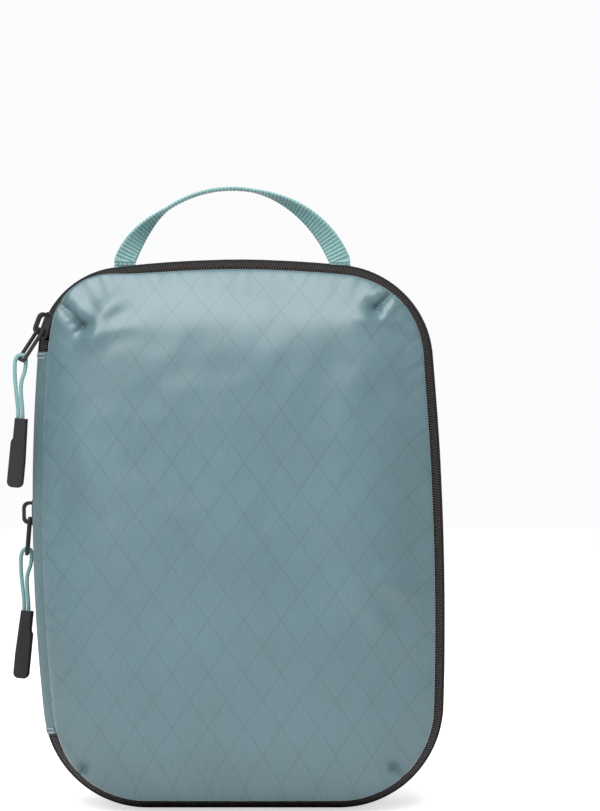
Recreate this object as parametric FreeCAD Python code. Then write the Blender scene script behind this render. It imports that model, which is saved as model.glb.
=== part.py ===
import FreeCAD, Part
import math
import os

# Soft packing cube with two zippers. The main zipper opens the front panel like a book, about the
# hinge strip on the -X side. The compression zipper lets out a folded expansion gusset, which
# changes the depth of the cube.
# Millimetres. The cube stands on its bottom wall: +Z is up, the front panel faces -Y, and the hinge
# strip and both zipper pulls are on the -X side. The origin is on the flat underside.

# ---- Outline of the side walls, seen from the front --------------------------------------------
half_width = 98.0
height = 260.0
base_radius = 50.0
top_bow = 3.0  # how far the filled top bows up between its corners
# A filled soft cube leans a little, so each side has its own widest height, bow and top corner.
left_belly, left_bow_radius, left_top_radius = 146.0, 950.0, 42.0
right_belly, right_bow_radius, right_top_radius = 88.0, 1400.0, 47.0

# ---- Depth of each band of the side wall, from front to back -----------------------------------
gusset_front_y = -14.0  # seam between the main zipper and the front gusset
main_zip_depth = 11.0
front_gusset_depth = 17.0
compression_zip_depth = 12.0
rear_gusset_depth = 21.0
front_bulge = 22.0
back_bulge = 6.0
front_inset = 6.5  # the front seam lies this far inside the widest outline
shoulder_inset = 0.6
turn_inset = 1.2
back_inset = 6.0
expansion_travel = 28.0

# ---- Cloth, tape and coil ----------------------------------------------------------------------
cloth = 1.0  # wall of the soft solids, with its lining and turnings
tape = 0.6
coil_height = 0.85
coil_width = 2.1
coil_gap = 1.3  # between the two halves of a coil, where the slider's post runs
hem = 1.0  # how far a cloth edge lies over the tape
turning = 0.5  # how far the main tape stops short of the seam's fold
binding = 1.4
binding_width = 3.0
binding_start = 1.0  # from the front seam to its binding
binding_clear = 0.087  # depth between the slider's lower plate and the frame's binding
seam_gap = 0.4  # between cloth on two bodies
bellows_cloth = 0.6
bellows_room = 2.8  # depth kept behind the compression tapes for the slider's lower plate

# ---- Hinge strip on the -X side ----------------------------------------------------------------
strip_bottom = 35.0
strip_past_corner = 1.278  # how far its top end goes past the start of the upper corner
strip_turning = 3.5

# ---- Slider, pull tab, cord and grip -----------------------------------------------------------
slider_length = 12.5
slider_width = 9.6
slider_tail_width = 8.4
plate = 1.3
slider_rise = 0.25  # top plate above the cloth line
slider_under = 2.35  # bottom plate below the cloth line
under_plate = 1.0
flange = 0.8
flange_drop = 0.9
post_width = 0.5
post_length = 2.6
crown_length = 11.0
crown_rise = 4.9
crown_bar = 1.6
crown_width = 2.4
park_gap = 1.2  # bare stretch past each end of a parked slider
tab_length = 18.5
tab_width = 7.6
tab_bar = 1.6
tab_thickness = 1.6
tab_side = 1.6
pin_play = 0.3
cord_diameter = 1.9
cord_fold = 4.9  # centre to centre of the cord's two strands where they go round the tab's bar
strand_gap = 0.2
grip_length = 32.5
grip_neck_length = 9.5
grip_neck_width = 5.9
grip_width = 7.6
grip_depth = 5.8
grip_drop = 27.5  # from the tab's lower bar to the top of the grip
bore_depth = 7.0

main_slider_angle = 20.0  # place on the upper corner, above the horizontal through its centre
compression_slider_height = 139.0
main_tab_lean = 14.0  # how far the hanging tab stands off the band
compression_tab_lean = 5.0

# ---- Carrying handle ---------------------------------------------------------------------------
handle_x = -3.0
handle_y = -13.5
handle_span = 101.5
handle_rise = 34.0
strap_width = 10.0
strap = 1.5
anchor_height = 1.4
anchor_foot = 12.0
handle_clear = 1.7  # between the strap and its sewn ends, so that it folds clear of them

# ---- Worked-out places along the depth ---------------------------------------------------------
front_y = gusset_front_y - main_zip_depth
compression_front_y = gusset_front_y + front_gusset_depth
compression_back_y = compression_front_y + compression_zip_depth
back_y = compression_back_y + rear_gusset_depth
# (y, inset) of the outer face of the side wall
wall_profile = [
    (front_y, front_inset),
    (gusset_front_y, shoulder_inset),
    (gusset_front_y + 4.0, 0.0),
    (back_y - 12.0, 0.0),
    (back_y - 6.0, turn_inset),
    (back_y, back_inset),
]
crown_reach = 0.738 * min(left_top_radius, right_top_radius, base_radius)
# (share of the reach past the seam, share of the bulge) of a filled panel, from seam to middle
panel_crown = [(0.0, 0.0), (0.081, 0.18), (0.226, 0.43), (0.419, 0.67), (0.677, 0.87), (1.0, 1.0)]


def inset_at(y):
    """Inset of the side wall's outer face at a depth."""
    for (y0, d0), (y1, d1) in zip(wall_profile, wall_profile[1:]):
        if y <= y1:
            return d0 + (d1 - d0) * (y - y0) / (y1 - y0)
    return wall_profile[-1][1]


# ---- Outline: a straight base, bowed sides and a bowed top, with corners tangent to both -------
half_top = half_width - (left_top_radius + right_top_radius) / 2
top_bow_radius = (half_top**2 + top_bow**2) / (2 * top_bow)
top_centre = (0.0, height - top_bow_radius)


def crossing(centre_a, radius_a, centre_b, radius_b):
    """The crossing of two circles that lies furthest towards +X."""
    ax, az = centre_a
    bx, bz = centre_b
    apart = math.hypot(bx - ax, bz - az)
    along = (radius_a**2 - radius_b**2 + apart**2) / (2 * apart)
    off = math.sqrt(radius_a**2 - along**2)
    ux, uz = (bx - ax) / apart, (bz - az) / apart
    return max((ax + along * ux + s * off * uz, az + along * uz - s * off * ux) for s in (-1, 1))


def angle_of(centre, point):
    return math.atan2(point[1] - centre[1], point[0] - centre[0])


class Side:
    """One side of the outline, as if it were the +X side: mirror is -1 for the -X side."""

    def __init__(self, mirror, belly, bow_radius, top_radius):
        self.mirror = mirror
        self.bow_radius = bow_radius
        self.top_radius = top_radius
        self.centre = (half_width - bow_radius, belly)
        drop = belly - base_radius
        reach = math.sqrt((bow_radius - base_radius) ** 2 - drop**2)
        self.low = (self.centre[0] + reach, base_radius)
        self.high = crossing(
            self.centre, bow_radius - top_radius, top_centre, top_bow_radius - top_radius
        )
        self.low_angle = angle_of(self.centre, self.low)
        self.high_angle = angle_of(self.centre, self.high)
        self.top_angle = angle_of(top_centre, self.high)

    def arc(self, centre, radius, start, end, y):
        points = []
        for a in (start, (start + end) / 2, end):
            x = self.mirror * (centre[0] + radius * math.cos(a))
            points.append(FreeCAD.Vector(x, y, centre[1] + radius * math.sin(a)))
        return Part.Arc(*points).toShape()

    def edges(self, y, inset):
        """Low corner, bowed side and high corner, going up."""
        return [
            self.arc(self.low, base_radius - inset, -math.pi / 2, self.low_angle, y),
            self.arc(self.centre, self.bow_radius - inset, self.low_angle, self.high_angle, y),
            self.arc(self.high, self.top_radius - inset, self.high_angle, self.top_angle, y),
        ]

    def top_height(self, x):
        """Height of the outline over the point x from the middle, towards this side."""
        if x <= self.high[0]:
            return top_centre[1] + math.sqrt(top_bow_radius**2 - x**2)
        return self.high[1] + math.sqrt(self.top_radius**2 - (x - self.high[0]) ** 2)


left = Side(-1, left_belly, left_bow_radius, left_top_radius)
right = Side(1, right_belly, right_bow_radius, right_top_radius)
strip_top = left.high[1] + strip_past_corner


def outline(y, inset):
    """The wall's outline at one depth, drawn in by inset: a closed wire of eight edges."""
    points = []
    for a in (right.top_angle, math.pi / 2, math.pi - left.top_angle):
        x = (top_bow_radius - inset) * math.cos(a)
        z = top_centre[1] + (top_bow_radius - inset) * math.sin(a)
        points.append(FreeCAD.Vector(x, y, z))
    base = Part.makeLine(
        FreeCAD.Vector(-left.low[0], y, inset), FreeCAD.Vector(right.low[0], y, inset)
    )
    over = Part.Arc(*points).toShape()
    down = list(reversed(left.edges(y, inset)))
    return Part.Wire([base, *right.edges(y, inset), over, *down])


def block(stations):
    """A solid through the outline at each (y, inset), flat at both ends."""
    return Part.makeLoft([outline(y, inset) for y, inset in stations], True, True)


def ring(section):
    """A closed band round the cube. section is the polygon of (y, inset) that it's cut to."""
    return Part.makeLoft([outline(y, inset) for y, inset in section], True, True, True)


def wall(outer, thickness=cloth):
    """A ring whose outer face runs through (y, inset) points, with a thickness inwards."""
    inner = [(y, d + thickness) for y, d in reversed(outer)]
    return ring([*outer, *inner])


def box(x0, x1, y0, y1, z0, z1):
    return Part.makeBox(x1 - x0, y1 - y0, z1 - z0, FreeCAD.Vector(x0, y0, z0))


def left_box(z0, z1):
    """Everything on the -X side between two heights."""
    return box(-2 * half_width, -half_width / 3, -height, height, z0, z1)


# ---- Zipper bands ------------------------------------------------------------------------------
class Band:
    """A zipper band between two (y, inset) edges. Points in it are given by how far across it
    they are from the middle, and how deep they are under the cloth line."""

    def __init__(self, front_edge, back_edge):
        self.y = (front_edge[0] + back_edge[0]) / 2
        self.inset = (front_edge[1] + back_edge[1]) / 2
        wide = back_edge[0] - front_edge[0]
        drop = front_edge[1] - back_edge[1]
        self.lean = math.atan2(drop, wide)
        self.half = math.hypot(wide, drop) / 2

    def at(self, across, deep):
        y = self.y + across * math.cos(self.lean) + deep * math.sin(self.lean)
        return (y, self.inset - across * math.sin(self.lean) + deep * math.cos(self.lean))

    def strip(self, start, end, top, bottom):
        """A ring from start to end across the band, between two depths."""
        return ring([
            self.at(start, top), self.at(end, top), self.at(end, bottom), self.at(start, bottom)
        ])

    def tape(self, side, past_edge):
        """Half of the tape, on the front side (-1) or the back side (+1), to past the edge."""
        near, far = side * coil_gap / 2, side * (self.half + past_edge)
        return self.strip(min(near, far), max(near, far), cloth, cloth + tape)

    def coil(self, side):
        near, far = side * coil_gap / 2, side * (coil_gap / 2 + coil_width)
        return self.strip(min(near, far), max(near, far), cloth - coil_height, cloth)


main_band = Band((front_y, front_inset), (gusset_front_y, shoulder_inset))
compression_band = Band(
    (compression_front_y, inset_at(compression_front_y)),
    (compression_back_y, inset_at(compression_back_y)),
)


def placement(x_axis, y_axis, z_axis, origin):
    a, b, c, o = x_axis, y_axis, z_axis, origin
    return FreeCAD.Placement(
        FreeCAD.Matrix(
            a.x, b.x, c.x, o.x,
            a.y, b.y, c.y, o.y,
            a.z, b.z, c.z, o.z,
            0, 0, 0, 1,
        )
    )


def band_frame(band, centre, radius, angle):
    """Placement on the -X side: local X up the track, local Z out of the cloth, Y across it."""
    a = math.radians(angle)
    out = FreeCAD.Vector(-math.cos(a), 0, math.sin(a))
    up = FreeCAD.Vector(math.sin(a), 0, math.cos(a))
    normal = out * math.cos(band.lean) + FreeCAD.Vector(0, -math.sin(band.lean), 0)
    reach = radius - band.inset
    place = FreeCAD.Vector(-centre[0], band.y, centre[1]) + out * reach
    return placement(up, normal.cross(up), normal, place)


compression_angle = math.degrees(
    math.asin((compression_slider_height - left_belly) / left_bow_radius)
)
main_place = band_frame(main_band, left.high, left_top_radius, main_slider_angle)
compression_place = band_frame(
    compression_band, left.centre, left_bow_radius, compression_angle
)


def placed(solid, place):
    moved = solid.copy()
    moved.Placement = place.multiply(moved.Placement)
    return moved


def parked(place):
    """The front half of the zipper where a slider is parked, as a block along its track."""
    half = slider_length / 2 + park_gap
    stretch = Part.makeBox(2 * half, slider_width, slider_width)
    stretch.translate(FreeCAD.Vector(-half, -slider_width, -slider_width / 2))
    return placed(stretch, place)


main_park = parked(main_place)
compression_park = parked(compression_place)
# The hinge strip takes the place of the main zipper between these heights.
strip_zone = left_box(strip_bottom, strip_top)
strip_clear = left_box(strip_bottom - seam_gap, strip_top + seam_gap)


# ---- The front panel, which opens --------------------------------------------------------------
def crown_face(seam, bulge, facing, skin):
    """The (y, inset) stations of a filled panel's face, or of its inside when skin is given."""
    y, inset = seam
    return [
        (y + facing * (bulge * share - skin), inset + crown_reach * reach + skin)
        for reach, share in panel_crown
    ]


def made_front_panel():
    """The crowned skin, with a lip along the zipper but not along the hinge strip."""
    seam = (front_y, front_inset)
    edge = -main_band.half
    outer = [main_band.at(edge + hem, 0.0), *crown_face(seam, front_bulge, -1, 0.0)]
    within = crown_face(seam, front_bulge, -1, cloth)[1:]
    within = [main_band.at(edge + hem, cloth), main_band.at(edge + turning, cloth), *within]
    z0, z1 = strip_bottom - seam_gap, strip_top + seam_gap
    lip_at_strip = box(-2 * half_width, -half_width / 3, front_y, 0.0, z0, z1)
    return block(outer).cut(block(within)).cut(lip_at_strip)


def made_front_binding():
    """Over the seam's turnings, inside the crown, where the slider passes clear of it."""
    (y0, i0), (y1, i1) = crown_face((front_y, front_inset), front_bulge, -1, cloth)[:2]
    run = math.hypot(y1 - y0, i1 - i0)
    along = ((y1 - y0) / run, (i1 - i0) / run)
    inward = (along[1], -along[0])
    section = []
    for far, deep in ((0.0, 0.0), (1.0, 0.0), (1.0, 1.0), (0.0, 1.0)):
        distance, depth = binding_start + far * binding_width, deep * binding
        y = y0 + distance * along[0] + depth * inward[0]
        section.append((y, i0 + distance * along[1] + depth * inward[1]))
    return ring(section)


def made_main_tape_outer():
    return main_band.tape(-1, -turning).cut(strip_clear).cut(main_park)


def made_main_coil_outer():
    return main_band.coil(-1).cut(strip_clear).cut(main_park)


# ---- The front frame, which moves out on the compression zipper --------------------------------
def made_main_tape_inner():
    return main_band.tape(1, -turning).cut(strip_zone)


def made_main_coil_inner():
    return main_band.coil(1).cut(strip_zone)


def made_hinge_strip():
    edge = main_band.half
    return main_band.strip(seam_gap - edge, edge - hem, 0.0, cloth).common(strip_zone)


def made_hinge_strip_ends():
    """The turned-in ends of the hinge strip, one over each end of the main zipper."""
    edge = main_band.half
    turned = main_band.strip(seam_gap + 1.0 - edge, edge - hem, -0.8 * cloth, 0.0)
    starts = (strip_bottom, strip_top - strip_turning)
    return [turned.common(left_box(z0, z0 + strip_turning)) for z0 in starts]


def made_front_gusset():
    edge = main_band.half
    outer = [main_band.at(edge - hem, 0.0), main_band.at(edge, 0.0), wall_profile[2]]
    inner = [(wall_profile[2][0], cloth), main_band.at(edge, cloth)]
    inner.append(main_band.at(edge - hem, cloth))
    return ring([*outer, (compression_front_y, 0.0), (compression_front_y, cloth), *inner])


def made_frame_binding():
    """Over the seam's turnings, just behind the seam, where the slider passes clear of it."""
    start = main_band.at(slider_width / 2, slider_under + under_plate)[0] + binding_clear
    depths = (start, start + binding_width)
    return wall([(y, inset_at(y) + 1.2 * cloth) for y in depths], binding)


def made_compression_tape_front():
    return compression_band.tape(-1, hem).cut(compression_park)


def made_compression_coil_front():
    return compression_band.coil(-1).cut(compression_park)


# ---- The rear shell ----------------------------------------------------------------------------
def made_compression_tape_rear():
    return compression_band.tape(1, hem)


def made_compression_coil_rear():
    return compression_band.coil(1)


def made_rear_gusset():
    return wall([(compression_back_y, 0.0)] + wall_profile[3:])


def made_back_panel():
    seam = (back_y, back_inset)
    outer = crown_face(seam, back_bulge, 1, 0.0)
    within = [(back_y, back_inset + 1.5 * cloth), *crown_face(seam, back_bulge, 1, cloth)[1:]]
    return block(outer).cut(block(within))


def made_back_binding():
    start = back_y - binding_width
    face = [(start, inset_at(start) + cloth), (back_y, back_inset + cloth)]
    return wall(face, binding)


def made_expansion_gusset():
    """The cloth between the two halves of the compression zipper. Its slack is folded flat,
    forwards, behind the front gusset."""
    near = cloth + tape + seam_gap
    far = cloth + tape + bellows_room
    fold_y = compression_front_y - expansion_travel / 2 + 3.0
    return ring([
        (compression_front_y, near),
        (compression_front_y, near + bellows_cloth),
        (fold_y + bellows_cloth, near + bellows_cloth),
        (fold_y + bellows_cloth, far),
        (compression_back_y, far),
        (compression_back_y, far + bellows_cloth),
        (fold_y, far + bellows_cloth),
        (fold_y, near),
    ])


# ---- Sliders, in local coordinates: X up the track, Y across the band, Z out of the cloth ------
def rounded_plate(length, wide, narrow, thick, radius):
    """A flat plate with rounded corners, wider at +X, its lower face at z = 0."""
    x = length / 2
    corners = [(-x, -narrow / 2), (x, -wide / 2), (x, wide / 2), (-x, narrow / 2)]
    points = [FreeCAD.Vector(a, b, 0) for a, b in corners]
    solid = Part.Face(Part.makePolygon([*points, points[0]])).extrude(FreeCAD.Vector(0, 0, thick))
    return rounded_uprights(solid, radius)


def rounded_uprights(solid, radius):
    """Rounds the edges that run along Z."""
    upright = []
    for e in solid.Edges:
        a, b = e.Vertexes[0].Point, e.Vertexes[-1].Point
        if math.hypot(a.x - b.x, a.y - b.y) < 1e-6 and abs(a.z - b.z) > 1e-6:
            upright.append(e)
    return solid.makeFillet(radius, upright)


def rounded_rims(solid, radius, levels):
    """Rounds the edges that lie flat at any of the given heights."""
    rims = []
    for e in solid.Edges:
        if any(all(abs(v.Z - z) < 1e-6 for v in e.Vertexes) for z in levels):
            rims.append(e)
    return solid.makeFillet(radius, rims)


def arch_face(x, z, base, bend):
    """A flat arch in the XZ plane, from the base up to z, rounded by bend at its shoulders."""
    cut = bend * (1 - math.sqrt(0.5))
    points = [
        (-x, base), (-x, z - bend), (cut - x, z - cut), (bend - x, z),
        (x - bend, z), (x - cut, z - cut), (x, z - bend), (x, base),
    ]
    p = [FreeCAD.Vector(a, 0, b) for a, b in points]
    edges = [
        Part.makeLine(p[0], p[1]),
        Part.Arc(p[1], p[2], p[3]).toShape(),
        Part.makeLine(p[3], p[4]),
        Part.Arc(p[4], p[5], p[6]).toShape(),
        Part.makeLine(p[6], p[7]),
        Part.makeLine(p[7], p[0]),
    ]
    return Part.Face(Part.Wire(edges))


def crown():
    """The bridge that the pull tab hangs from: a low arch along the slider."""
    half = crown_length / 2
    base = slider_rise + plate
    top = base + crown_rise
    bend = crown_rise * 0.62
    along = FreeCAD.Vector(0, crown_width, 0)
    outer = arch_face(half, top, base - plate / 2, bend).extrude(along)
    window = arch_face(half - crown_bar, top - crown_bar, base, bend * 0.7).extrude(along)
    bridge = outer.cut(window)
    bridge.translate(FreeCAD.Vector(0, -crown_width / 2, 0))
    return bridge


def slider_body():
    """Two plates joined by the post that parts the coil, with side flanges and a crown."""
    x = slider_length / 2
    top = rounded_plate(slider_length, slider_width, slider_tail_width, plate, 1.6)
    top = rounded_rims(top, 0.45, [plate])
    top.translate(FreeCAD.Vector(0, 0, slider_rise))
    under = rounded_plate(slider_length, slider_width, slider_tail_width, under_plate, 1.6)
    under.translate(FreeCAD.Vector(0, 0, -slider_under - under_plate))
    post_low = -slider_under - under_plate / 2
    post_high = slider_rise + plate / 2
    post_end = x - 2.4
    parts = [
        under,
        crown(),
        box(post_end - post_length, post_end, -post_width / 2, post_width / 2, post_low, post_high),
    ]
    side = slider_tail_width / 2
    low = slider_rise - flange_drop
    parts.append(box(2.0 - x, x - 1.8, -side, flange - side, low, post_high))
    parts.append(box(2.0 - x, x - 1.8, side - flange, side, low, post_high))
    return top.fuse(parts).removeSplitter()


# ---- Pull tabs: local X down the tab, Y across it, Z outwards ----------------------------------
def tab_pivot():
    """Middle of the tab's top bar, at the lower end of the crown's window, on the slider."""
    reach = tab_bar / 2 + pin_play
    x = crown_bar + reach - crown_length / 2
    return FreeCAD.Vector(x, 0, slider_rise + plate + reach + 0.15)


def tab_frame(place, lean):
    a = math.radians(lean)
    down = FreeCAD.Vector(-math.cos(a), 0, math.sin(a))
    out = FreeCAD.Vector(math.sin(a), 0, math.cos(a))
    return place.multiply(placement(down, out.cross(down), out, tab_pivot()))


def pull_tab():
    """A long flat ring: its top bar runs through the crown, the cord goes round its lower bar."""
    x0 = -tab_bar / 2
    x1 = x0 + tab_length
    w = tab_width / 2
    t = tab_thickness / 2
    blank = rounded_uprights(box(x0, x1, -w, w, -t, t), 1.5)
    window = box(x0 + tab_bar, x1 - tab_bar, tab_side - w, w - tab_side, -2 * t, 2 * t)
    return rounded_rims(blank.cut(rounded_uprights(window, 0.8)), 0.35, [-t, t])


main_tab_place = tab_frame(main_place, main_tab_lean)
compression_tab_place = tab_frame(compression_place, compression_tab_lean)


# ---- Cords and grips: local X down, Z away from the cube, Y to the front ----------------------
def cord_frame(tab_place):
    """Placement that hangs straight down from the tab's lower bar, seen square from the front."""
    bar = tab_place.multVec(FreeCAD.Vector(tab_length - tab_bar, 0, 0))
    down, forward = FreeCAD.Vector(0, 0, -1), FreeCAD.Vector(0, -1, 0)
    return placement(down, forward, down.cross(forward), bar)


strand = (cord_diameter + strand_gap) / 2
top_of_fold = -cord_fold / 2
# (how far down, how far outwards) of each corner of the doubled cord, from one end to the other
cord_corners = [
    (32.5, 0.4 + strand), (20.0, strand - 0.8), (7.0, cord_fold / 2), (top_of_fold, cord_fold / 2),
    (top_of_fold, -cord_fold / 2), (7.0, -cord_fold / 2), (20.0, -strand - 0.8),
    (32.5, 0.4 - strand),
]


def cord_path(corners):
    """Straight runs joined by tangent arcs, each as wide as the shorter run beside it allows."""
    points = [FreeCAD.Vector(down, 0, out) for down, out in corners]
    edges, radii, start = [], [], points[0]
    for before, at, after in zip(points, points[1:], points[2:]):
        a, b = at - before, after - at
        turn = a.getAngle(b)
        reach = 0.45 * min(a.Length, b.Length)
        radius = reach / math.tan(turn / 2)
        a.normalize()
        b.normalize()
        enter, leave = at - a * reach, at + b * reach
        inward = b - a
        inward.normalize()
        centre = at + inward * (radius / math.cos(turn / 2))
        edges.append(Part.makeLine(start, enter))
        edges.append(Part.Arc(enter, centre - inward * radius, leave).toShape())
        radii.append(round(radius, 2))
        start = leave
    edges.append(Part.makeLine(start, points[-1]))
    return Part.Wire(edges), radii


def pull_cord():
    path, radii = cord_path(cord_corners)
    first = path.Edges[0]
    along = first.tangentAt(first.FirstParameter)
    circle = Part.makeCircle(cord_diameter / 2, first.Vertexes[0].Point, along)
    tube = path.makePipeShell([Part.Wire(circle)], True, False)
    section = math.pi * cord_diameter**2 / 4
    print("cord bend radii", radii, "length", round(path.Length, 2),
          "volume over section by length", round(tube.Volume / (section * path.Length), 4))
    return tube


def grip_frame(place):
    """Placement of a grip on the cord's end: local X down the grip."""
    low, mid = cord_corners[0], cord_corners[1]
    fall = low[0] - mid[0]
    slide = low[1] - mid[1]
    share = (grip_drop - mid[0]) / fall
    lean = math.atan2(slide, fall)
    down = FreeCAD.Vector(math.cos(lean), 0, math.sin(lean))
    out = FreeCAD.Vector(-math.sin(lean), 0, math.cos(lean))
    start = FreeCAD.Vector(grip_drop, 0, mid[1] - strand + slide * share)
    return place.multiply(placement(down, FreeCAD.Vector(0, 1, 0), out, start))


def pull_grip(step):
    """A moulded grip with a narrower neck and two bores for the cord. It is stepped on the side
    towards the cube (-1) or away from it (+1)."""
    n, g, t = grip_neck_width / 2, grip_width / 2, grip_depth / 2
    corners = [
        (0, n), (grip_length * 0.62, g), (grip_length, g), (grip_length, -g),
        (grip_neck_length + 1.5, -g), (grip_neck_length, -n), (0, -n),
    ]
    points = [FreeCAD.Vector(x, -t, -step * z) for x, z in corners]
    body = Part.Face(Part.makePolygon([*points, points[0]])).extrude(FreeCAD.Vector(0, 2 * t, 0))
    ends = [e for e in body.Edges if all(v.X > grip_length - 0.01 for v in e.Vertexes)]
    round_end = [e for e in ends if abs(e.Vertexes[0].Y - e.Vertexes[1].Y) > t]
    body = body.makeFillet(2.6, round_end)
    rims = [e for e in body.Edges if all(abs(abs(v.Y) - t) < 1e-6 for v in e.Vertexes)]
    rims = [e for e in rims if any(v.X > 0.01 for v in e.Vertexes)]
    body = body.makeFillet(1.2, rims)
    bore = cord_diameter / 2 + 0.03
    for z in (-strand, strand):
        hole = Part.makeCylinder(bore, bore_depth, FreeCAD.Vector(0, 0, z), FreeCAD.Vector(1, 0, 0))
        body = body.cut(hole)
    return body


main_cord_place = cord_frame(main_tab_place)
compression_cord_place = cord_frame(compression_tab_place)


# ---- Handle ------------------------------------------------------------------------------------
def handle_seat():
    """Height of the strap's sewn ends: clear above the wall at the inner edge of each."""
    inner = handle_span / 2 - strap_width / 2
    tops = (left.top_height(inner - handle_x), right.top_height(inner + handle_x))
    return max(tops) - shoulder_inset + anchor_height


handle_base = handle_seat()
handle_radius = ((handle_span / 2) ** 2 + handle_rise**2) / (2 * handle_rise)
strap_pieces = 36


def handle_section(share):
    """The strap's corners at a share of its length. It turns a quarter turn at each end."""
    sweep = math.asin(handle_span / 2 / handle_radius)
    a = sweep * (2 * share - 1)
    radial = FreeCAD.Vector(math.sin(a), 0, math.cos(a))
    middle = FreeCAD.Vector(handle_x, handle_y, handle_base + handle_rise - handle_radius)
    centre = middle + radial * handle_radius
    from_end = min(share, 1 - share) / 0.31
    turn = math.radians(90.0) * (1 - min(1.0, from_end)) ** 1.2
    width = FreeCAD.Vector(0, 1, 0) * math.cos(turn) - radial * math.sin(turn)
    thick = width.cross(FreeCAD.Vector(math.cos(a), 0, -math.sin(a)))
    corners = []
    for a, b in ((-1, -1), (1, -1), (1, 1), (-1, 1)):
        corners.append(centre + width * (a * strap_width / 2) + thick * (b * strap / 2))
    return Part.makePolygon([*corners, corners[0]])


def made_handle():
    sections = [handle_section(i / strap_pieces) for i in range(strap_pieces + 1)]
    strip = Part.makeLoft(sections, True, True)
    low = handle_base + handle_clear
    return strip.common(box(-half_width, half_width, -height, height, low, 2 * height))


def made_handle_anchors():
    """The sewn ends of the strap, standing out of the seam between the tape and the gusset."""
    under = block([(front_y, front_inset), (gusset_front_y, shoulder_inset), wall_profile[2]])
    solids = []
    for s in (-1, 1):
        x = handle_x + s * (handle_span / 2 - 0.6)
        low = handle_base - anchor_foot
        stub = box(
            x - strap_width / 2, x + strap_width / 2,
            handle_y - strap, handle_y + strap, low, handle_base,
        )
        solids.append(stub.cut(under))
    return solids


# ---- Files -------------------------------------------------------------------------------------
def save(name, shape):
    """Writes one sub-part. A list is a group of separate solids."""
    solids = [s for one in (shape if isinstance(shape, list) else [shape]) for s in one.Solids]
    whole = solids[0] if len(solids) == 1 else Part.makeCompound(solids)
    whole.exportStep(f"parts/{name}.step")
    size = whole.BoundBox
    print(
        f"{name}: {len(solids)} solid(s), {whole.Volume:.1f} mm3, valid {whole.isValid()},"
        f" x {size.XMin:.1f}..{size.XMax:.1f} y {size.YMin:.1f}..{size.YMax:.1f}"
        f" z {size.ZMin:.1f}..{size.ZMax:.1f}"
    )


os.makedirs("parts", exist_ok=True)
save("front_panel", made_front_panel())
save("front_seam_binding", made_front_binding())
save("main_tape_outer", made_main_tape_outer())
save("main_coil_outer", made_main_coil_outer())
save("main_tape_inner", made_main_tape_inner())
save("main_coil_inner", made_main_coil_inner())
save("hinge_strip", made_hinge_strip())
save("hinge_strip_ends", made_hinge_strip_ends())
save("front_gusset", made_front_gusset())
save("frame_seam_binding", made_frame_binding())
save("compression_tape_front", made_compression_tape_front())
save("compression_coil_front", made_compression_coil_front())
save("compression_tape_rear", made_compression_tape_rear())
save("compression_coil_rear", made_compression_coil_rear())
save("rear_gusset", made_rear_gusset())
save("back_panel", made_back_panel())
save("back_seam_binding", made_back_binding())
save("expansion_gusset", made_expansion_gusset())
save("main_slider", placed(slider_body(), main_place))
save("compression_slider", placed(slider_body(), compression_place))
save("main_pull_tab", placed(pull_tab(), main_tab_place))
save("compression_pull_tab", placed(pull_tab(), compression_tab_place))
save("main_pull_cord", placed(pull_cord(), main_cord_place))
save("compression_pull_cord", placed(pull_cord(), compression_cord_place))
save("main_pull_grip", placed(pull_grip(1), grip_frame(main_cord_place)))
save("compression_pull_grip", placed(pull_grip(-1), grip_frame(compression_cord_place)))
save("carry_handle", made_handle())
save("handle_anchors", made_handle_anchors())

print("seat of the handle", round(handle_base, 3))
print("left top corner centre", left.high, "left side centre", left.centre, "right", right.high)
for name, place, pull, cord in (
    ("main", main_place, main_tab_place, main_cord_place),
    ("compression", compression_place, compression_tab_place, compression_cord_place),
):
    print(name, "slider at", place.Base, "tab pivot", pull.Base, "tab bar", cord.Base)
    print(name, "across", place.Rotation.multVec(FreeCAD.Vector(0, 1, 0)))
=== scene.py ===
# %% [markdown]
# # A zipped packing cube
# The object is a soft travel cube of coated ripstop nylon. A coil zipper runs round the front
# panel, a second one round the middle of its side wall, and a webbing handle stands on top.
# Two cord pulls hang on the left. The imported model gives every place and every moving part, and
# this lesson makes the cloth, the zipper teeth, the stitches and the finishes around it.

import math

import bmesh
import bpy
import numpy as np
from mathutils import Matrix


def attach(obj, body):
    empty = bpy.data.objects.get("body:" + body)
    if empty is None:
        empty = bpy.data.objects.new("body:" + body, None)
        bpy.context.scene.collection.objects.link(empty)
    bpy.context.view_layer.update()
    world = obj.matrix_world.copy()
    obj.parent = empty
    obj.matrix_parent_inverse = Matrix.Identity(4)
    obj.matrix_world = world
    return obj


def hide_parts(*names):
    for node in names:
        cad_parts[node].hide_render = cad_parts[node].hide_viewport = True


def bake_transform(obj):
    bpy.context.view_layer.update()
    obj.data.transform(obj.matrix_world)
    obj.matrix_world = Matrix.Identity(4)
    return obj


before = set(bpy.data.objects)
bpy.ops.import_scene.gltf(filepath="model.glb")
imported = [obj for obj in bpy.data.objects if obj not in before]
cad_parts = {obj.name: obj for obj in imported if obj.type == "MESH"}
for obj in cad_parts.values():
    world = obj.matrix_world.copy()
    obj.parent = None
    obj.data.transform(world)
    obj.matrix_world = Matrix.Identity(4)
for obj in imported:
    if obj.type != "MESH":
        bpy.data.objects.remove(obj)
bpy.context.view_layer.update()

# %% [markdown]
# ## Units and the cube's outline
# The shapes are worked out in millimetres, which suit sewing, and turned into metres when a mesh
# is made. Seen from the front, the side wall follows one outline: a straight base, two bowed
# sides, a bowed top and four round corners that run smoothly into them. Every band of the wall
# is that outline drawn in by an inset, so a point on the cube needs three numbers only: how far
# round the outline it is, its depth y, and its inset. One function turns those into x, y and z.

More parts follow.
